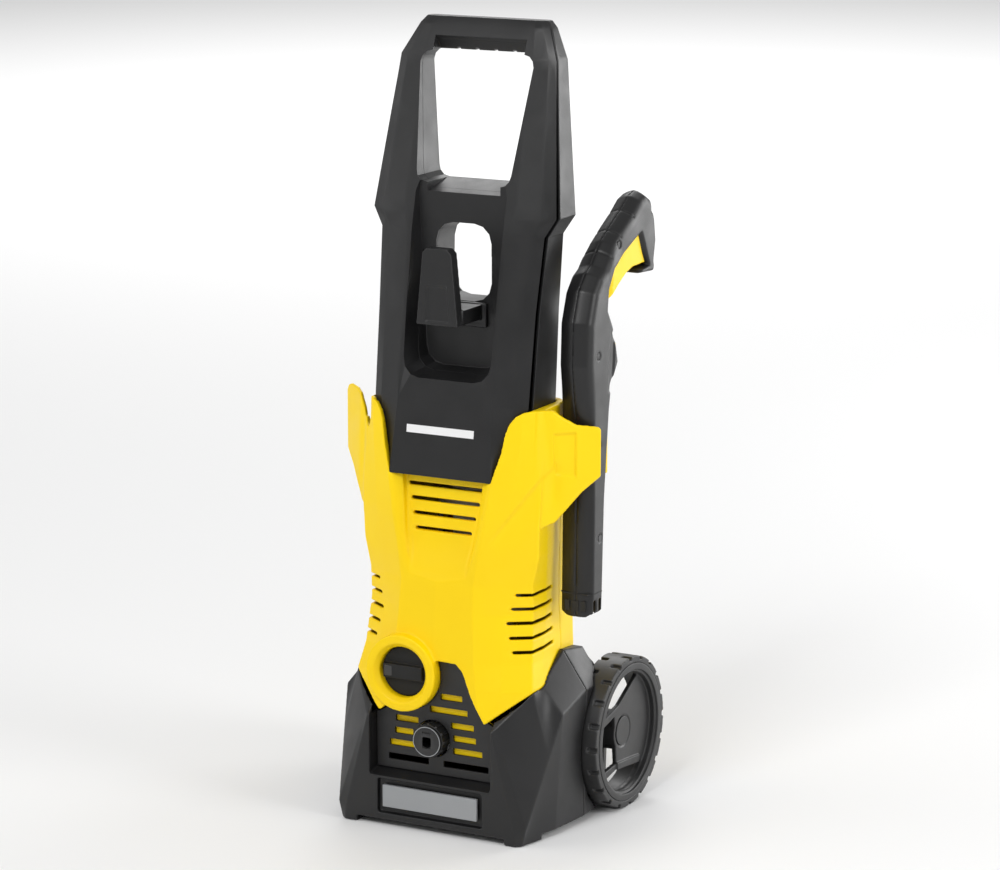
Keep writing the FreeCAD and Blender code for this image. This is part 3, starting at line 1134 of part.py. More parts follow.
def rounded_gun():
    """The gun's outer form, with its long edges bevelled."""
    pared_profile = pared(gun_profile, 3.6)
    return loft("YZ", [(S.gun_x - S.gun_half, pared_profile), (S.gun_x - S.gun_half + 5, gun_profile),
                       (S.gun_x + S.gun_half - 5, gun_profile), (S.gun_x + S.gun_half, pared_profile)])


gun_slot = prism("YZ", S.gun_x - S.trigger_half - 0.8, S.gun_x + S.trigger_half + 0.8, trigger_slot)
lock_slot = box(S.gun_x - 5.4, size(-8), S.lock_z - 0.4, size(12.8), size(45), size(15.8))
collar_slots = fuse(*[box(S.gun_x - 20, size(y), size(187), size(40), size(4.5), size(11))
                      for y in (-29, -19.5)])
pin_hole = on_gun(S.trigger_pin_radius, S.trigger_pin_y, S.trigger_pin_z, -S.gun_half + 1.5, S.gun_half - 1.5)
SCREW_PLACES = [(-22, 405), (-20, 330), (-18, 250), (20, 492), (84, 512)]
screw_holes = [on_gun(size(1.6), size(y), size(z), size(-12), S.gun_half + 1) for y, z in SCREW_PLACES]
screw_heads = [on_gun(size(3), size(y), size(z), S.gun_half - 3, S.gun_half + 1) for y, z in SCREW_PLACES]
gun_body = cut(rounded_gun(),
               prism("YZ", S.gun_x - inner_half, S.gun_x + inner_half, gun_cavity),
               prism("YZ", S.gun_x - inner_half, S.gun_x + inner_half, grip_cavity),
               gun_slot, lock_slot, collar_slots, pin_hole, barrel_chamfer(-1), barrel_chamfer(1),
               on_gun(size(4.6), S.trigger_pin_y, S.trigger_pin_z, size(7), size(12.4)))
boss_posts = [on_gun(size(4), size(y), size(z), -S.gun_half + 1, S.gun_half - 1) for y, z in SCREW_PLACES[:3]]
shell_blank = cut(fuse(gun_body, *boss_posts), *screw_holes, *screw_heads)
left_half = box(size(60), size(-60), size(170), S.gun_x - 60, size(180), size(380))
right_half = box(S.gun_x, size(-60), size(170), size(40), size(180), size(380))
rest_boss = box(size(79.6), size(-23.5), S.ledge_top_z + 0.2, S.gun_x - S.gun_half - 79, size(7), size(10))
node(fuse(common(shell_blank, left_half), rest_boss), "gun_left_shell")
node(common(shell_blank, right_half), "gun_right_shell")

trigger = prism("YZ", S.gun_x - S.trigger_half, S.gun_x + S.trigger_half, trigger_profile)
node(cut(trigger, on_gun(S.trigger_pin_radius + 0.06, S.trigger_pin_y, S.trigger_pin_z, size(-20), size(20))),
     "gun_trigger")
node(on_gun(S.trigger_pin_radius, S.trigger_pin_y, S.trigger_pin_z, -S.gun_half + 1.5, S.gun_half - 1.5),
     "trigger_pin")
node(box(S.gun_x - 5, size(-2), S.lock_z, size(12), size(27), size(15)), "gun_lock")
node(fuse(rod("z", S.gun_x, size(-22), size(336), size(5), size(10)),
          rod("z", S.gun_x, size(-23), size(345), size(7.5), size(49))), "gun_valve")
socket_y = size(-22.0)
node(cut(rod("z", S.gun_x, socket_y, S.gun_foot_z + 0.5, size(8.1), size(52)),
         rod("z", S.gun_x, socket_y, S.gun_foot_z - 1, S.socket_bore, size(36))), "lance_socket")
node(group(*[fuse(on_gun(size(1.6), size(y), size(z), size(-12), S.gun_half - 2.8),
                  on_gun(size(2.9), size(y), size(z), S.gun_half - 2.9, S.gun_half - 0.6))
             for y, z in SCREW_PLACES]), "gun_screws")


def trigger_spring():
    """The return spring, coiled round the trigger's pin beside the trigger."""
    feature = doc.addObject("Part::Feature", "Spring")
    coil = coil_spring(3.4, 0.5, 1.3, 2.6)
    coil.rotate(Vector(), Vector(0, 1, 0), 90)
    coil.translate(Vector(DIMENSIONS["gun_x"] + 8.6, DIMENSIONS["trigger_pin_y"],
                          DIMENSIONS["trigger_pin_z"]))
    feature.Shape = coil
    return feature


node(trigger_spring(), "trigger_spring")


def export():
    """Checks every object and writes one STEP file for each sub-part."""
    doc.recompute()
    for thing in doc.Objects:
        if "Invalid" in thing.State or "Error" in thing.State:
            raise RuntimeError("%s did not compute: %s" % (thing.Name, thing.State))
    for part in NODES:
        if part.Shape.isNull() or not part.Shape.isValid() or not part.Shape.Solids:
            raise RuntimeError("%s has no valid solid" % part.Label)
    os.makedirs("parts", exist_ok=True)
    for part in NODES:
        part.Shape.exportStep(os.path.join("parts", part.Label + ".step"))


export()
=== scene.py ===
import json
import math

import bmesh
import bpy
from mathutils import Matrix, Vector


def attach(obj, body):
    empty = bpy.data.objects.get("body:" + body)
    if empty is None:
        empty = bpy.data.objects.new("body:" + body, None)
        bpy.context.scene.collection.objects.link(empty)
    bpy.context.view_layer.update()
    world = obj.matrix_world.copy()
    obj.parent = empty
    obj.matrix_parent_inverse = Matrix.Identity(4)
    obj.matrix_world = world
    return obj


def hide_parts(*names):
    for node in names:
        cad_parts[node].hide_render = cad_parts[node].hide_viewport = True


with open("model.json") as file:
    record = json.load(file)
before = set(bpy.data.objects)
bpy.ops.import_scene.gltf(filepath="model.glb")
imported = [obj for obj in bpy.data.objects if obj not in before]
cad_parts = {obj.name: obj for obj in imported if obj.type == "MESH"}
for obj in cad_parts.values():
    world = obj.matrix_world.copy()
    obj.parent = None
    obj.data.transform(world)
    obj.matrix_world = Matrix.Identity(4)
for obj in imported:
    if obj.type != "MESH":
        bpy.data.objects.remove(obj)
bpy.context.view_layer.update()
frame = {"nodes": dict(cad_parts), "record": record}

# Lengths are in millimetres in the CAD frame. +X is the side that carries the gun, -Y the front and +Z up.
MM = 0.001


# ---- Camera, light and floor ---------------------------------------------------------------------------

AZIMUTH = math.radians(28.0)
PITCH = math.radians(12.179)
DISTANCE = 3098.3 * MM
TARGET = Vector((0.0, 20.0, 319.185)) * MM
LENS = 130.548
SENSOR_WIDTH = 36.0
FLOOR_SIZE = 16.0
FLOOR_TONE = (0.86, 0.86, 0.86, 1.0)
WORLD_STRENGTH = 0.42


def make_camera():
    data = bpy.data.cameras.new("camera")
    data.lens = LENS
    data.sensor_width = SENSOR_WIDTH
    data.clip_end = 50.0
    camera = bpy.data.objects.new("camera", data)
    bpy.context.scene.collection.objects.link(camera)
    level = math.cos(PITCH)
    away = Vector((math.sin(AZIMUTH) * level, -math.cos(AZIMUTH) * level, math.sin(PITCH)))
    camera.location = TARGET + away * DISTANCE
    camera.rotation_euler = (-away).to_track_quat("-Z", "Y").to_euler()
    bpy.context.scene.camera = camera


def area_light(name, place, power, size, aim=(0.0, 0.0, 0.32)):
    """A square soft box. Its place, size and aim are in metres, its power in watts."""
    data = bpy.data.lights.new(name, "AREA")
    data.energy = power
    data.size = size
    light = bpy.data.objects.new(name, data)
    light.location = place
    light.rotation_euler = (Vector(aim) - Vector(place)).to_track_quat("-Z", "Y").to_euler()
    bpy.context.scene.collection.objects.link(light)


def make_studio():
    """A pale floor, a white world and five soft boxes, one of them over the floor behind the object."""
    bpy.ops.mesh.primitive_plane_add(size=FLOOR_SIZE, location=(0, 0, 0))
    floor = bpy.context.object
    floor.name = "studio_floor"
    paint = bpy.data.materials.new("floor_paper")
    paint.use_nodes = True
    shader = paint.node_tree.nodes["Principled BSDF"]
    shader.inputs["Base Color"].default_value = FLOOR_TONE
    shader.inputs["Roughness"].default_value = 0.85
    floor.data.materials.append(paint)
    world = bpy.data.worlds.new("studio_world")
    world.use_nodes = True
    background = world.node_tree.nodes["Background"]
    background.inputs["Color"].default_value = (1.0, 1.0, 1.0, 1.0)
    background.inputs["Strength"].default_value = WORLD_STRENGTH
    bpy.context.scene.world = world
    area_light("key", (0.0, -2.2, 2.4), 36.0, 1.0)
    area_light("flank", (1.3, 2.0, 0.7), 24.0, 1.2)
    area_light("side", (2.4, -0.2, 1.2), 22.0, 1.0)
    area_light("fill", (-2.2, -1.2, 1.4), 12.0, 1.6)
    area_light("backdrop", (-2.0, 4.2, 3.2), 130.0, 3.0, (-2.0, 4.2, 0.0))


# ---- Materials -----------------------------------------------------------------------------------------


class Finish:
    """A procedural material, built node by node."""

    def __init__(self, name, colour, metallic=0.0, specular=0.5):
        self.material = bpy.data.materials.new(name)
        self.material.use_nodes = True
        self.tree = self.material.node_tree
        self.shader = self.tree.nodes["Principled BSDF"]
        self.shader.inputs["Metallic"].default_value = metallic
        self.shader.inputs["Specular IOR Level"].default_value = specular
        self.colour = colour
        self.place = self.add("ShaderNodeTexCoord").outputs["Object"]

    def add(self, kind, **values):
        node = self.tree.nodes.new(kind)
        for name, value in values.items():
            setattr(node, name, value)
        return node

    def link(self, start, end):
        self.tree.links.new(start, end)

    def noise(self, scale, detail=3.0, stretch=(1.0, 1.0, 1.0)):
        mapping = self.add("ShaderNodeMapping")
        mapping.inputs["Scale"].default_value = stretch
        self.link(self.place, mapping.inputs["Vector"])
        noise = self.add("ShaderNodeTexNoise")
        noise.inputs["Scale"].default_value = scale
        noise.inputs["Detail"].default_value = detail
        self.link(mapping.outputs["Vector"], noise.inputs["Vector"])
        return noise.outputs["Fac"]

    def ramp(self, factor, low, high, dark, light):
        ramp = self.add("ShaderNodeValToRGB")
        ramp.color_ramp.elements[0].position = low
        ramp.color_ramp.elements[1].position = high
        ramp.color_ramp.elements[0].color = (*dark, 1.0)
        ramp.color_ramp.elements[1].color = (*light, 1.0)
        self.link(factor, ramp.inputs["Fac"])
        return ramp.outputs["Color"]

    def spread(self, factor, low, high):
        """A factor of 0 to 1 spread between two numbers."""
        remap = self.add("ShaderNodeMapRange")
        remap.inputs["From Min"].default_value = 0.3
        remap.inputs["From Max"].default_value = 0.7
        remap.inputs["To Min"].default_value = low
        remap.inputs["To Max"].default_value = high
        self.link(factor, remap.inputs["Value"])
        return remap.outputs["Result"]

    def blotches(self, amount, scale=9.0):
        """Slow colour variation over the surface."""
        dark = tuple(channel * (1.0 - amount) for channel in self.colour)
        light = tuple(min(1.0, channel * (1.0 + amount)) for channel in self.colour)
        return self.ramp(self.noise(scale), 0.35, 0.65, dark, light)

    def worn_and_highlit_edges(self, base, gain):
        """Lightens the convex edges a little: partly wear, partly a painted highlight along them."""
        geometry = self.add("ShaderNodeNewGeometry")
        mask = self.ramp(geometry.outputs["Pointiness"], 0.52, 0.6, (0.0,) * 3, (1.0,) * 3)
        mix = self.add("ShaderNodeMix", data_type="RGBA")
        light = tuple(min(1.0, channel * gain + 0.01) for channel in self.colour)
        mix.inputs["B"].default_value = (*light, 1.0)
        self.link(base, mix.inputs["A"])
        self.link(mask, mix.inputs["Factor"])
        return mix.outputs["Result"]

    def bump(self, height, strength, distance):
        bump = self.add("ShaderNodeBump")
        bump.inputs["Strength"].default_value = strength
        bump.inputs["Distance"].default_value = distance * MM
        self.link(height, bump.inputs["Height"])
        self.link(bump.outputs["Normal"], self.shader.inputs["Normal"])

    def finish(self, colour, rough_low, rough_high, rough_scale=40.0):
        self.link(colour, self.shader.inputs["Base Color"])
        roughness = self.spread(self.noise(rough_scale), rough_low, rough_high)
        self.link(roughness, self.shader.inputs["Roughness"])
        return self.material


def textured_plastic(name, colour, roughness, grain=2600.0, relief=0.35, gain=2.2):
    """Spark-eroded moulding: a fine even grain, slightly lighter along its edges as wear and as a painted
    highlight.
    """
    finish = Finish(name, colour)
    finish.bump(finish.noise(grain, 2.0), relief, 0.12)
    return finish.finish(finish.worn_and_highlit_edges(finish.blotches(0.1), gain), roughness - 0.05, roughness + 0.06)


def satin_plastic(name, colour, roughness, relief=0.06, specular=0.5):
    """Smooth moulding with a faint orange peel."""
    finish = Finish(name, colour, specular=specular)
    finish.bump(finish.noise(420.0, 2.0), relief, 0.1)
    return finish.finish(finish.blotches(0.03, 6.0), roughness - 0.04, roughness + 0.05)


def machined_metal(name, colour, roughness, stretch=(40.0, 40.0, 1.0)):
    """Metal with fine turning marks."""
    finish = Finish(name, colour, metallic=1.0)
    finish.bump(finish.noise(300.0, 3.0, stretch), 0.15, 0.05)
    return finish.finish(finish.blotches(0.12, 30.0), roughness - 0.08, roughness + 0.1, 160.0)


def cast_metal(name, colour, roughness):
    """Die-cast metal with a pitted skin."""
    finish = Finish(name, colour, metallic=1.0)
    finish.bump(finish.noise(900.0, 4.0), 0.4, 0.2)
    return finish.finish(finish.blotches(0.15, 50.0), roughness - 0.1, roughness + 0.1, 90.0)


def wound_wire(name, colour):
    """Enamelled wire wound in close turns."""
    finish = Finish(name, colour, metallic=0.8)
    wave = finish.add("ShaderNodeTexWave", bands_direction="Z")
    wave.inputs["Scale"].default_value = 900.0
    finish.link(finish.place, wave.inputs["Vector"])
    finish.bump(wave.outputs["Fac"], 0.8, 0.4)
    return finish.finish(finish.blotches(0.2, 60.0), 0.25, 0.4)


BLACK = textured_plastic("black_moulding", (0.0085, 0.0085, 0.009), 0.42)
CHARCOAL = textured_plastic("charcoal_moulding", (0.014, 0.014, 0.0145), 0.46)
# The wheel moulding's tone also stands as a painted highlight on the switch's grip.
WHEEL_BLACK = textured_plastic("wheel_moulding", (0.024, 0.024, 0.0245), 0.46)
YELLOW = satin_plastic("yellow_moulding", (1.0, 0.68, 0.0), 0.45, specular=0.28)
GREY = satin_plastic("grey_moulding", (0.30, 0.31, 0.32), 0.36, 0.1)
WHITE = satin_plastic("white_print", (0.85, 0.85, 0.85), 0.5)
PALE = satin_plastic("pale_moulding", (0.6, 0.6, 0.57), 0.5)
# Deep black: the carbon and the barrel's joint, and painted shade on the collar's slots and the switch's
# disc.
DARK = textured_plastic("deep_black", (0.004, 0.004, 0.004), 0.7, gain=1.0)
RUBBER = textured_plastic("soft_rubber", (0.012, 0.012, 0.012), 0.75, 900.0, 0.4)
# Blackened steel: the real finish of the gun's screws, and painted shade on two nodes that sit in deep holes.
OXIDE_AND_SHADE = machined_metal("blackened_steel_and_shade", (0.05, 0.05, 0.05), 0.5)
STEEL = machined_metal("turned_steel", (0.55, 0.55, 0.56), 0.32)
LAMINATED = machined_metal("laminated_steel", (0.32, 0.32, 0.34), 0.45, (1.0, 1.0, 60.0))
BRASS = machined_metal("turned_brass", (0.78, 0.56, 0.24), 0.3)
ALUMINIUM = cast_metal("cast_aluminium", (0.62, 0.63, 0.65), 0.45)
COPPER = wound_wire("winding_wire", (0.72, 0.33, 0.15))
SLOT_FINISHES = {
    "black_plastic": BLACK, "yellow_plastic": YELLOW, "charcoal_plastic": CHARCOAL, "grey_plastic": GREY,
    "wheel_plastic": WHEEL_BLACK, "tyre_rubber": WHEEL_BLACK, "rubber": RUBBER, "steel": STEEL,
    "laminated_steel": LAMINATED, "aluminium": ALUMINIUM, "brass": BRASS, "copper": COPPER, "carbon": DARK,
    "white_plastic": PALE,
}


def paint_cad_nodes():
    """Gives each CAD node the finish of its material slot, and a dark finish as painted shade to two nodes
    seen in deep holes.
    """
    for part in frame["record"]["subparts"]:
        mesh = frame["nodes"][part["node"]].data
        mesh.materials.clear()
        mesh.materials.append(SLOT_FINISHES[part["material_slot"]])
    # The outlet's brass connector and the tower's screws are painted dark: painted shade in their deep holes.
    for node in ("outlet_connector", "shell_screws"):
        frame["nodes"][node].data.materials[0] = OXIDE_AND_SHADE


# ---- Mesh helpers --------------------------------------------------------------------------------------


BEVEL_ANGLE = math.radians(28)
SOFT_EDGE = 1.4
SOFT_SHARP = 35
MOULDED_SHARP = 55
WELD_REACH = 0.01


def new_object(name, mesh):
    obj = bpy.data.objects.new(name, mesh)
    bpy.context.scene.collection.objects.link(obj)
    return obj


def apply_modifiers(obj):
    bpy.context.view_layer.update()
    graph = bpy.context.evaluated_depsgraph_get()
    mesh = bpy.data.meshes.new_from_object(obj.evaluated_get(graph))
    obj.modifiers.clear()
    obj.data = mesh
    return obj


def modify(obj, kind, **values):
    modifier = obj.modifiers.new(kind.lower(), kind)
    for name, value in values.items():
        setattr(modifier, name, value)
    return modifier


def smooth_shading(obj, angle=None):
    obj.data.shade_smooth()
    if angle:
        obj.data.set_sharp_from_angle(angle=math.radians(angle))


def dress(obj, body, slot, finish, *nodes):
    """Finishes a piece: its material, its body and the CAD nodes that it stands for. Its slot argument is not
    used.
    """
    obj.data.materials.clear()
    obj.data.materials.append(finish)
    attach(obj, body)
    if nodes:
        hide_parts(*nodes)
    return obj


def remeshed(obj, voxel):
    modify(obj, "REMESH", mode="VOXEL", voxel_size=voxel * MM, adaptivity=0.0)
    return apply_modifiers(obj)


def sculpted(obj, sculpt):
    """Moves every point of a piece: sculpt gets its place in millimetres and gives the new one."""
    for vertex in obj.data.vertices:
        vertex.co = Vector(sculpt(*(vertex.co / MM))) * MM


def moulded(node, voxel=1.0, passes=6, faces=110000, sculpt=None, again=False):
    """A rounded copy of a CAD node. With again, the mesh is evened out once more after its sculpting."""
    obj = new_object(node + "_moulding", frame["nodes"][node].data.copy())
    remeshed(obj, voxel)
    if sculpt:
        sculpted(obj, sculpt)
        if again:
            remeshed(obj, voxel)
    modify(obj, "SMOOTH", factor=0.5, iterations=passes)
    triangles = sum(len(face.vertices) - 2 for face in obj.data.polygons)
    if triangles > faces:
        modify(obj, "DECIMATE", ratio=faces / triangles)
    apply_modifiers(obj)
    smooth_shading(obj, MOULDED_SHARP)
    return obj


def softened(node):
    """A copy of a CAD node with its sharp edges rounded over."""
    obj = new_object(node + "_softened", frame["nodes"][node].data.copy())
    modify(obj, "WELD", merge_threshold=WELD_REACH * MM)
    modify(obj, "BEVEL", width=SOFT_EDGE * MM, segments=3, limit_method="ANGLE", angle_limit=BEVEL_ANGLE,
           miter_outer="MITER_ARC", use_clamp_overlap=True)
    apply_modifiers(obj)
    smooth_shading(obj, SOFT_SHARP)
    modify(obj, "WEIGHTED_NORMAL", keep_sharp=True, weight=80)
    return apply_modifiers(obj)


def stepped(value, low, high):
    """Rises smoothly from 0 at low to 1 at high."""
    share = min(1.0, max(0.0, (value - low) / (high - low)))
    return share * share * (3.0 - 2.0 * share)


def within(value, low, high, soft):
    """1 between low and high, falling smoothly to 0 over a soft margin outside them."""
    return stepped(value, low - soft, low) * (1.0 - stepped(value, high, high + soft))


def prism_mesh(name, outline, low_y, high_y):
    """A piece with an outline in X and Z, in millimetres, between two depths."""
    mesh = bmesh.new()
    corners = [mesh.verts.new(Vector((x, low_y, z)) * MM) for x, z in outline]
    face = mesh.faces.new(corners)
    moved = bmesh.ops.extrude_face_region(mesh, geom=[face])["geom"]
    bmesh.ops.translate(mesh, vec=(0, (high_y - low_y) * MM, 0),
                        verts=[item for item in moved if isinstance(item, bmesh.types.BMVert)])
    bmesh.ops.recalc_face_normals(mesh, faces=mesh.faces)
    data = bpy.data.meshes.new(name)
    mesh.to_mesh(data)
    mesh.free()
    return new_object(name, data)


def bevelled(obj, width):
    """Rounds the sharp edges of a piece over a width in millimetres."""
    modify(obj, "BEVEL", width=width * MM, segments=3, limit_method="ANGLE", angle_limit=math.radians(30))
    apply_modifiers(obj)
    smooth_shading(obj, 40)
    return obj


def arc(centre_x, centre_z, radius, start, end, steps):
    """Points along an arc, from one angle in degrees to another."""
    turned = [math.radians(start + (end - start) * index / steps) for index in range(steps + 1)]
    return [(centre_x + radius * math.cos(angle), centre_z + radius * math.sin(angle)) for angle in turned]


def cut_out(obj, other):
    """Cuts one piece out of another and removes it."""
    modify(obj, "BOOLEAN", operation="DIFFERENCE", object=other, solver="EXACT")
    apply_modifiers(obj)
    bpy.data.objects.remove(other, do_unlink=True)
    return obj


# ---- Tower and covers ----------------------------------------------------------------------------------


STRIPE_LEFT, STRIPE_RIGHT, STRIPE_HEIGHT = -33.5, 29.7, 6.6
STRIPE_Y, STRIPE_Z = -82.3, 338.2
TOWER_LEAN = math.atan2(8.4, 63.0)


def tower_pieces():
    dress(softened("tower_front"), "frame", "black_plastic", BLACK, "tower_front")
    dress(softened("tower_rear"), "frame", "black_plastic", BLACK, "tower_rear")
    dress(moulded("hose_hook", 0.7, 6, 50000), "frame", "black_plastic", BLACK, "hose_hook")
    outline = [(STRIPE_LEFT, 0), (STRIPE_RIGHT, 0), (STRIPE_RIGHT, STRIPE_HEIGHT),
               (STRIPE_LEFT, STRIPE_HEIGHT)]
    bar = prism_mesh("tower_stripe", outline, -0.7, 0.7)
    bar.data.transform(Matrix.Rotation(-TOWER_LEAN, 4, "X"))
    bar.data.transform(Matrix.Translation(Vector((0, STRIPE_Y, STRIPE_Z)) * MM))
    dress(bar, "frame", "white_plastic", WHITE)


CREASE_TOP = Vector((89.8, 316.3))
CREASE_FOOT = Vector((46.9, 254.2))
WING_ROOT_X, WING_ROOT_Y = 83.5, -68.0
VENT_TOP_Z, VENT_FLOOR_HALF, VENT_WALL = 302.0, 37.5, 11.0
COVER_REAR_Y = -45.0
PANEL_DEPTH, CREASE_DEPTH, VENT_DEPTH, HOLLOW_DEPTH = 1.4, 2.8, 6.0, 3.0


def wing_panel(x, y, z):
    """How deep the shallow panel in the outer face of the right wing lies at a place."""
    across = x - WING_ROOT_X
    on_wing = y < WING_ROOT_Y + across + 1.6
    return within(across, 8.5, 24.5, 1.2) * within(z, 311.0 - 0.15 * across, 343.0, 1.2) if on_wing else 0.0


def vent_valley(x, z):
    """How deep the valley of the vents lies: its floor narrows downwards and fades out below them."""
    floor_half = VENT_FLOOR_HALF - 0.2 * (VENT_TOP_Z - z)
    return stepped(z, 214.0, 252.0) * (1.0 - stepped(abs(x), floor_half, floor_half + VENT_WALL))


def wing_crease(x, z):
    """How deep the flank lies below the crease that runs from the right wing down onto the body."""
    line = CREASE_TOP - CREASE_FOOT
    along = line.normalized()
    place = Vector((x, z)) - CREASE_FOOT
    run = place.dot(along) / line.length
    below = place.x * along.y - place.y * along.x
    ends = stepped(run, -0.15, 0.35) * (1.0 - stepped(run, 0.9, 1.15))
    return ends * stepped(below, 0.0, 1.6) * (1.0 - stepped(below, 3.0, 24.0))


def wing_hollow(x, z):
    """How deep the hollow between the body and the root of a wing lies."""
    middle = 85.5 + 0.08 * (352.0 - abs(z))
    return stepped(z, 262.0, 305.0) * math.exp(-((abs(x) - middle) / 5.0) ** 2)


def cover_forms(x, y, z):
    """Presses the panel, the valley, the hollows and the crease into the front cover, through its wall."""
    if y > COVER_REAR_Y:
        return (x, y, z)
    panel = PANEL_DEPTH * wing_panel(x, y, z)
    crease = CREASE_DEPTH * wing_crease(x, z) if x > 0 else 0.0
    deep = VENT_DEPTH * vent_valley(x, z) + HOLLOW_DEPTH * wing_hollow(x, z) + crease
    return (x - panel, y + panel + deep, z)


def cover_pieces():
    front = moulded("front_cover", 0.9, 4, 160000, cover_forms)
    dress(front, "frame", "yellow_plastic", YELLOW, "front_cover")
    rear = moulded("rear_cover", 1.0, 6, 80000)
    dress(rear, "frame", "yellow_plastic", YELLOW, "rear_cover")


# ---- Base ----------------------------------------------------------------------------------------------


BAY_HALF, SILL_Z, SILL_REAR_Y, SILL_SLOPE = 57.9, 47.8, -94.0, 0.3
OUTLET_X, OUTLET_Z = -3.0, 79.5
DISC_RADIUS, RIM_RADIUS, RIM_THICKNESS, RIM_Y = 13.2, 12.6, 0.45, -105.6
SOCKET_HALF_X, SOCKET_TOP, SOCKET_FOOT, SOCKET_CORNER = 2.6, 2.4, 4.6, 1.6
KNOB_OUTLINE = [(-46.2, 131.0), (-10.8, 128.6), (-10.8, 141.6), (-46.2, 140.2)]


def sloped_ledge(x, y, z):
    """Slopes the sill of the grille's bay down towards the front."""
    if abs(x) < BAY_HALF and y < SILL_REAR_Y and abs(z - SILL_Z) < 3.0:
        z -= (SILL_REAR_Y - y) * SILL_SLOPE
    return (x, y, z)


def socket_outline():
    """The outlet's socket: a square with rounded corners, a little below the collar's middle."""
    outline = []
    for index, (side, height) in enumerate(((1, SOCKET_TOP), (-1, SOCKET_TOP), (-1, -SOCKET_FOOT),
                                            (1, -SOCKET_FOOT))):
        outline += arc(OUTLET_X + side * SOCKET_HALF_X, OUTLET_Z + height, SOCKET_CORNER, index * 90,
                       index * 90 + 90, 4)
    return outline


def outlet_collar():
    """The ribbed collar round the outlet: a disc with a light rim, a rounded socket and a slot above it."""
    disc = prism_mesh("outlet_disc", arc(OUTLET_X, OUTLET_Z, DISC_RADIUS, 0, 354, 59), -105.9, -104.2)
    bevelled(disc, 0.4)
    cut_out(disc, prism_mesh("socket", socket_outline(), -110, -100))
    corners = ((-4.0, 7.2), (4.0, 7.2), (4.0, 8.6), (-4.0, 8.6))
    slot = [(OUTLET_X + side, OUTLET_Z + height) for side, height in corners]
    cut_out(disc, prism_mesh("slot", slot, -107, -105))
    smooth_shading(disc, 40)
    dress(disc, "collar", "black_plastic", CHARCOAL)
    bpy.ops.mesh.primitive_torus_add(major_radius=RIM_RADIUS * MM, minor_radius=RIM_THICKNESS * MM,
                                     major_segments=96, minor_segments=10)
    rim = bpy.context.object
    rim.name = "outlet_rim"
    rim.data.transform(Matrix.Rotation(math.radians(90.0), 4, "X"))
    rim.data.transform(Matrix.Translation(Vector((OUTLET_X, RIM_Y, OUTLET_Z)) * MM))
    smooth_shading(rim)
    dress(rim, "collar", "grey_plastic", GREY)
    collar = moulded("outlet_collar", 0.35, 3, 60000)
    dress(collar, "collar", "black_plastic", BLACK, "outlet_collar")


def knob_grip():
    """The wedge that turns the switch: it widens and sinks towards its right end."""
    grip = bevelled(prism_mesh("knob_grip", KNOB_OUTLINE, -102.0, -96.8), 1.1)
    sculpted(grip, lambda x, y, z: (x, y + (2.6 * stepped(x, -44.0, -12.0) if y < -99.0 else 0.0), z))
    return grip


def base_pieces():
    housing = moulded("base_housing", 0.9, 5, 140000, sloped_ledge)
    dress(housing, "frame", "black_plastic", BLACK, "base_housing")
    dress(moulded("base_rear", 1.0, 6, 90000), "frame", "black_plastic", BLACK, "base_rear")
    dress(moulded("front_grille", 0.5, 3, 90000), "frame", "charcoal_plastic", CHARCOAL, "front_grille")
    dress(moulded("grip_bar", 0.45, 6, 40000), "frame", "grey_plastic", GREY, "grip_bar")
    # The switch is one black moulding: its disc is painted deeper black as painted shade, its grip lighter as
    # a painted highlight.
    dress(moulded("switch_knob", 0.45, 5, 50000), "switch", "black_plastic", DARK, "switch_knob")
    dress(knob_grip(), "switch", "black_plastic", WHEEL_BLACK)
    outlet_collar()


# ---- Wheels --------------------------------------------------------------------------------------------


WHEEL_Y, WHEEL_Z = 41.4, 65.9
GROOVE_INNER, GROOVE_OUTER, GROOVE_DEPTH, GROOVE_FROM_X = 13.0, 14.2, 0.9, 107.0


def wheel_pieces():
    for side, sign in (("left", -1), ("right", 1)):
        def cap_groove(x, y, z):
            """Cuts a fine groove round the hub cap."""
            radius = math.hypot(y - WHEEL_Y, z - WHEEL_Z)
            sunk = within(radius, GROOVE_INNER, GROOVE_OUTER, 0.3) if abs(x) > GROOVE_FROM_X else 0.0
            return (x - sign * GROOVE_DEPTH * sunk, y, z)

        body = side + "_wheel"
        dress(moulded(body, 0.6, 4, 90000, cap_groove), body, "wheel_plastic", WHEEL_BLACK, body)
        dress(moulded(side + "_tyre", 0.7, 5, 70000), body, "tyre_rubber", WHEEL_BLACK, side + "_tyre")
        cap = side + "_hub_cap"
        dress(moulded(cap, 0.4, 4, 12000), body, "wheel_plastic", WHEEL_BLACK, cap)


# ---- Trigger gun ---------------------------------------------------------------------------------------

GUN_X = 100.0
GUN_RIDGE = [(-34, 184), (-32.5, 284), (-34.5, 350), (-38, 368), (-42, 398), (-40.5, 434), (-31, 460),
             (-19, 473), (-9, 478), (9, 496), (28, 507.5), (46, 517.5), (60, 527), (72, 530.5), (85, 524),
             (93.5, 506), (96.5, 486), (93, 469)]
GRIP_GROOVES = (2.0, 26.5, 54.0)
GROOVE_REACH = 7.0
GRIP_SLIM = 0.14
BARREL_OUTLINE = [(-11.3, -34.2), (11.3, -34.2), (15.15, -30.3), (15.15, -14.4), (10.4, -10.8),
                  (-10.4, -10.8), (-15.15, -14.4), (-15.15, -30.3)]
COLLAR_SLOTS = ((-9.6, -5.4), (-3.2, 3.2), (5.4, 9.6))
PLUG_Y, PLUG_Z, PLUG_RADIUS = -18.0, 250.0, 3.1


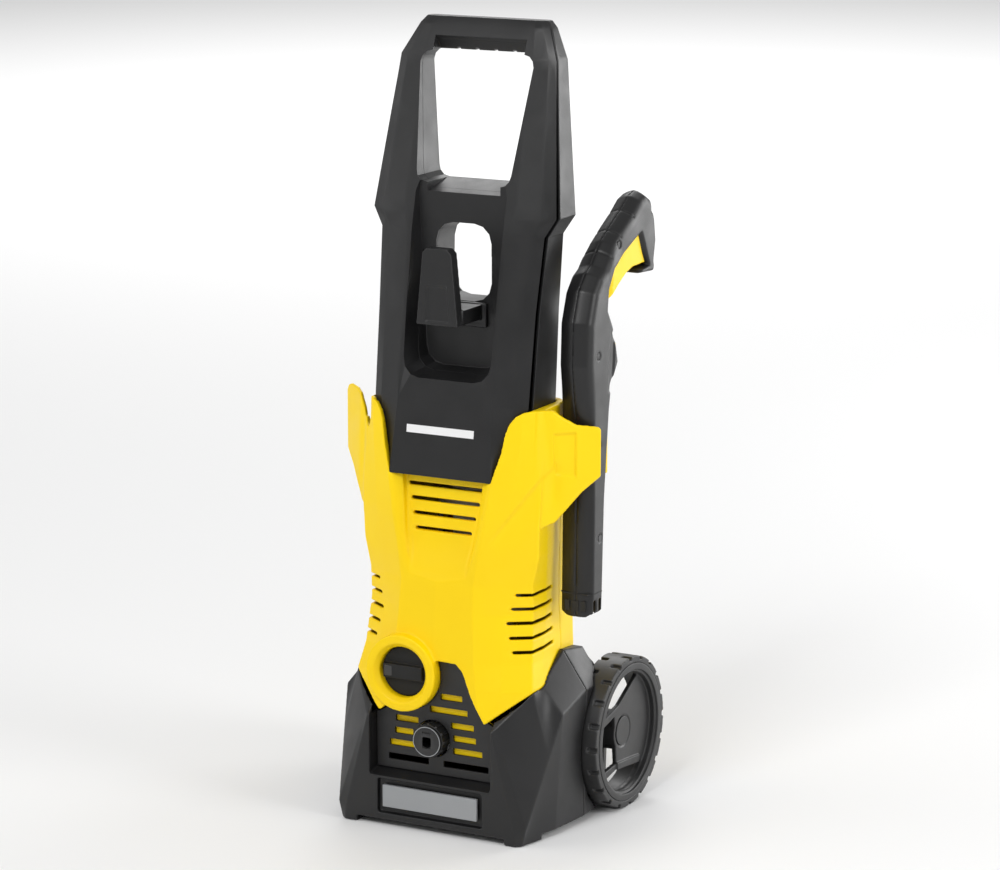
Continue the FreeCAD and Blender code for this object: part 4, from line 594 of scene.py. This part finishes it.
def ridge_distance(y, z):
    """How far a point lies from the gun's outer ridge, which runs up its front and over its grip."""
    nearest = 1000.0
    for (y1, z1), (y2, z2) in zip(GUN_RIDGE, GUN_RIDGE[1:]):
        along_y, along_z = y2 - y1, z2 - z1
        share = ((y - y1) * along_y + (z - z1) * along_z) / (along_y ** 2 + along_z ** 2)
        share = min(1.0, max(0.0, share))
        nearest = min(nearest, math.hypot(y - y1 - share * along_y, z - z1 - share * along_z))
    return nearest


def rounded_gun(x, y, z):
    """Rounds the gun's ridge, slims its grip, and cuts the grip's cross grooves and the side recess."""
    distance = ridge_distance(y, z)
    radius = 4.0 + 8.0 * stepped(z, 330.0, 380.0)
    swell = 1.0
    if distance < radius:
        swell = max(0.0, 1.0 - (1.0 - distance / radius) ** 2.3) ** (1 / 2.3)
    slim = 1.0 - GRIP_SLIM * stepped(z + 0.5 * y, 478.0, 500.0)
    offset = (x - GUN_X) * swell * slim
    sink = 0.0
    along = 0.866 * y + 0.5 * (z - 487.0)
    for groove in GRIP_GROOVES:
        if distance < GROOVE_REACH and y > -8.0 and z > 480.0:
            sink = max(sink, 0.9 * within(along, groove - 0.5, groove + 0.5, 0.5))
    recess = within(z, 372.0, 421.0, 1.5) * within(y, 1.0 - (421 - z) * 0.08, 8.5 - (421 - z) * 0.08, 1.0)
    if x > 108.0:
        sink = max(sink, 1.3 * recess)
    reach = max(abs(offset), 1.0)
    offset *= max(0.0, reach - sink) / reach
    drop = 0.6 * sink if distance < GROOVE_REACH else 0.0
    return (GUN_X + offset, y + drop, z - drop)


def wide_trigger(x, y, z):
    """Widens the trigger outside the head, where it fills the bow of the grip."""
    return (GUN_X + (x - GUN_X) * (1.0 + 0.35 * stepped(y, 6.0, 16.0)), y, z)


def sunk_screw(x, y, z):
    """Sinks the heads of the grip's two screws, as the grip is slimmer than its CAD node."""
    sink = 2.5 + 2.5 * stepped(y, 40.0, 60.0)
    return (x - sink * stepped(z, 440.0, 460.0) * stepped(x, 104.0, 108.0), y, z)


def turned_prism(name, outline, low, high, turn):
    """A prism laid along another axis by a matrix that swaps two axes."""
    piece = prism_mesh(name, outline, low, high)
    piece.data.transform(turn)
    piece.data.flip_normals()
    return piece


def barrel_details():
    """The dark joint line above the barrel's collar, the collar's slots as thin dark sheets of painted shade,
    and a plug over one screw.
    """
    upright = Matrix(((1, 0, 0, GUN_X * MM), (0, 0, 1, 0), (0, 1, 0, 0), (0, 0, 0, 1)))
    joint = turned_prism("barrel_joint", BARREL_OUTLINE, 203.4, 204.4, upright)
    dress(joint, "gun", "black_plastic", DARK)
    # The collar's slots are thin dark sheets on its face: painted shade in place of real openings.
    for index, (low_x, high_x) in enumerate(COLLAR_SLOTS):
        low_x += GUN_X
        high_x += GUN_X
        outline = [(low_x, 189), (high_x, 189), (high_x, 198), (low_x, 198)]
        slot = prism_mesh("collar_slot_%d" % index, outline, -34.25, -33.5)
        dress(slot, "gun", "black_plastic", DARK)
    sideways = Matrix(((0, 1, 0, 0), (1, 0, 0, 0), (0, 0, 1, 0), (0, 0, 0, 1)))
    plug = turned_prism("barrel_plug", arc(PLUG_Y, PLUG_Z, PLUG_RADIUS, 0, 345, 23), 112.0, 114.95, sideways)
    dress(plug, "gun", "black_plastic", BLACK)


def gun_pieces():
    for side in ("left", "right"):
        shell = "gun_" + side + "_shell"
        dress(moulded(shell, 0.8, 5, 110000, rounded_gun, True), "gun", "black_plastic", BLACK, shell)
    trigger = moulded("gun_trigger", 0.6, 6, 50000, wide_trigger)
    dress(trigger, "trigger", "yellow_plastic", YELLOW, "gun_trigger")
    dress(moulded("gun_lock", 0.5, 5, 15000), "lock", "yellow_plastic", YELLOW, "gun_lock")
    screws = new_object("gun_screws_sunk", frame["nodes"]["gun_screws"].data.copy())
    sculpted(screws, sunk_screw)
    dress(screws, "gun", "steel", OXIDE_AND_SHADE, "gun_screws")
    barrel_details()


bpy.context.scene.view_settings.view_transform = "Standard"
make_camera()
make_studio()
paint_cad_nodes()
tower_pieces()
cover_pieces()
base_pieces()
wheel_pieces()
gun_pieces()
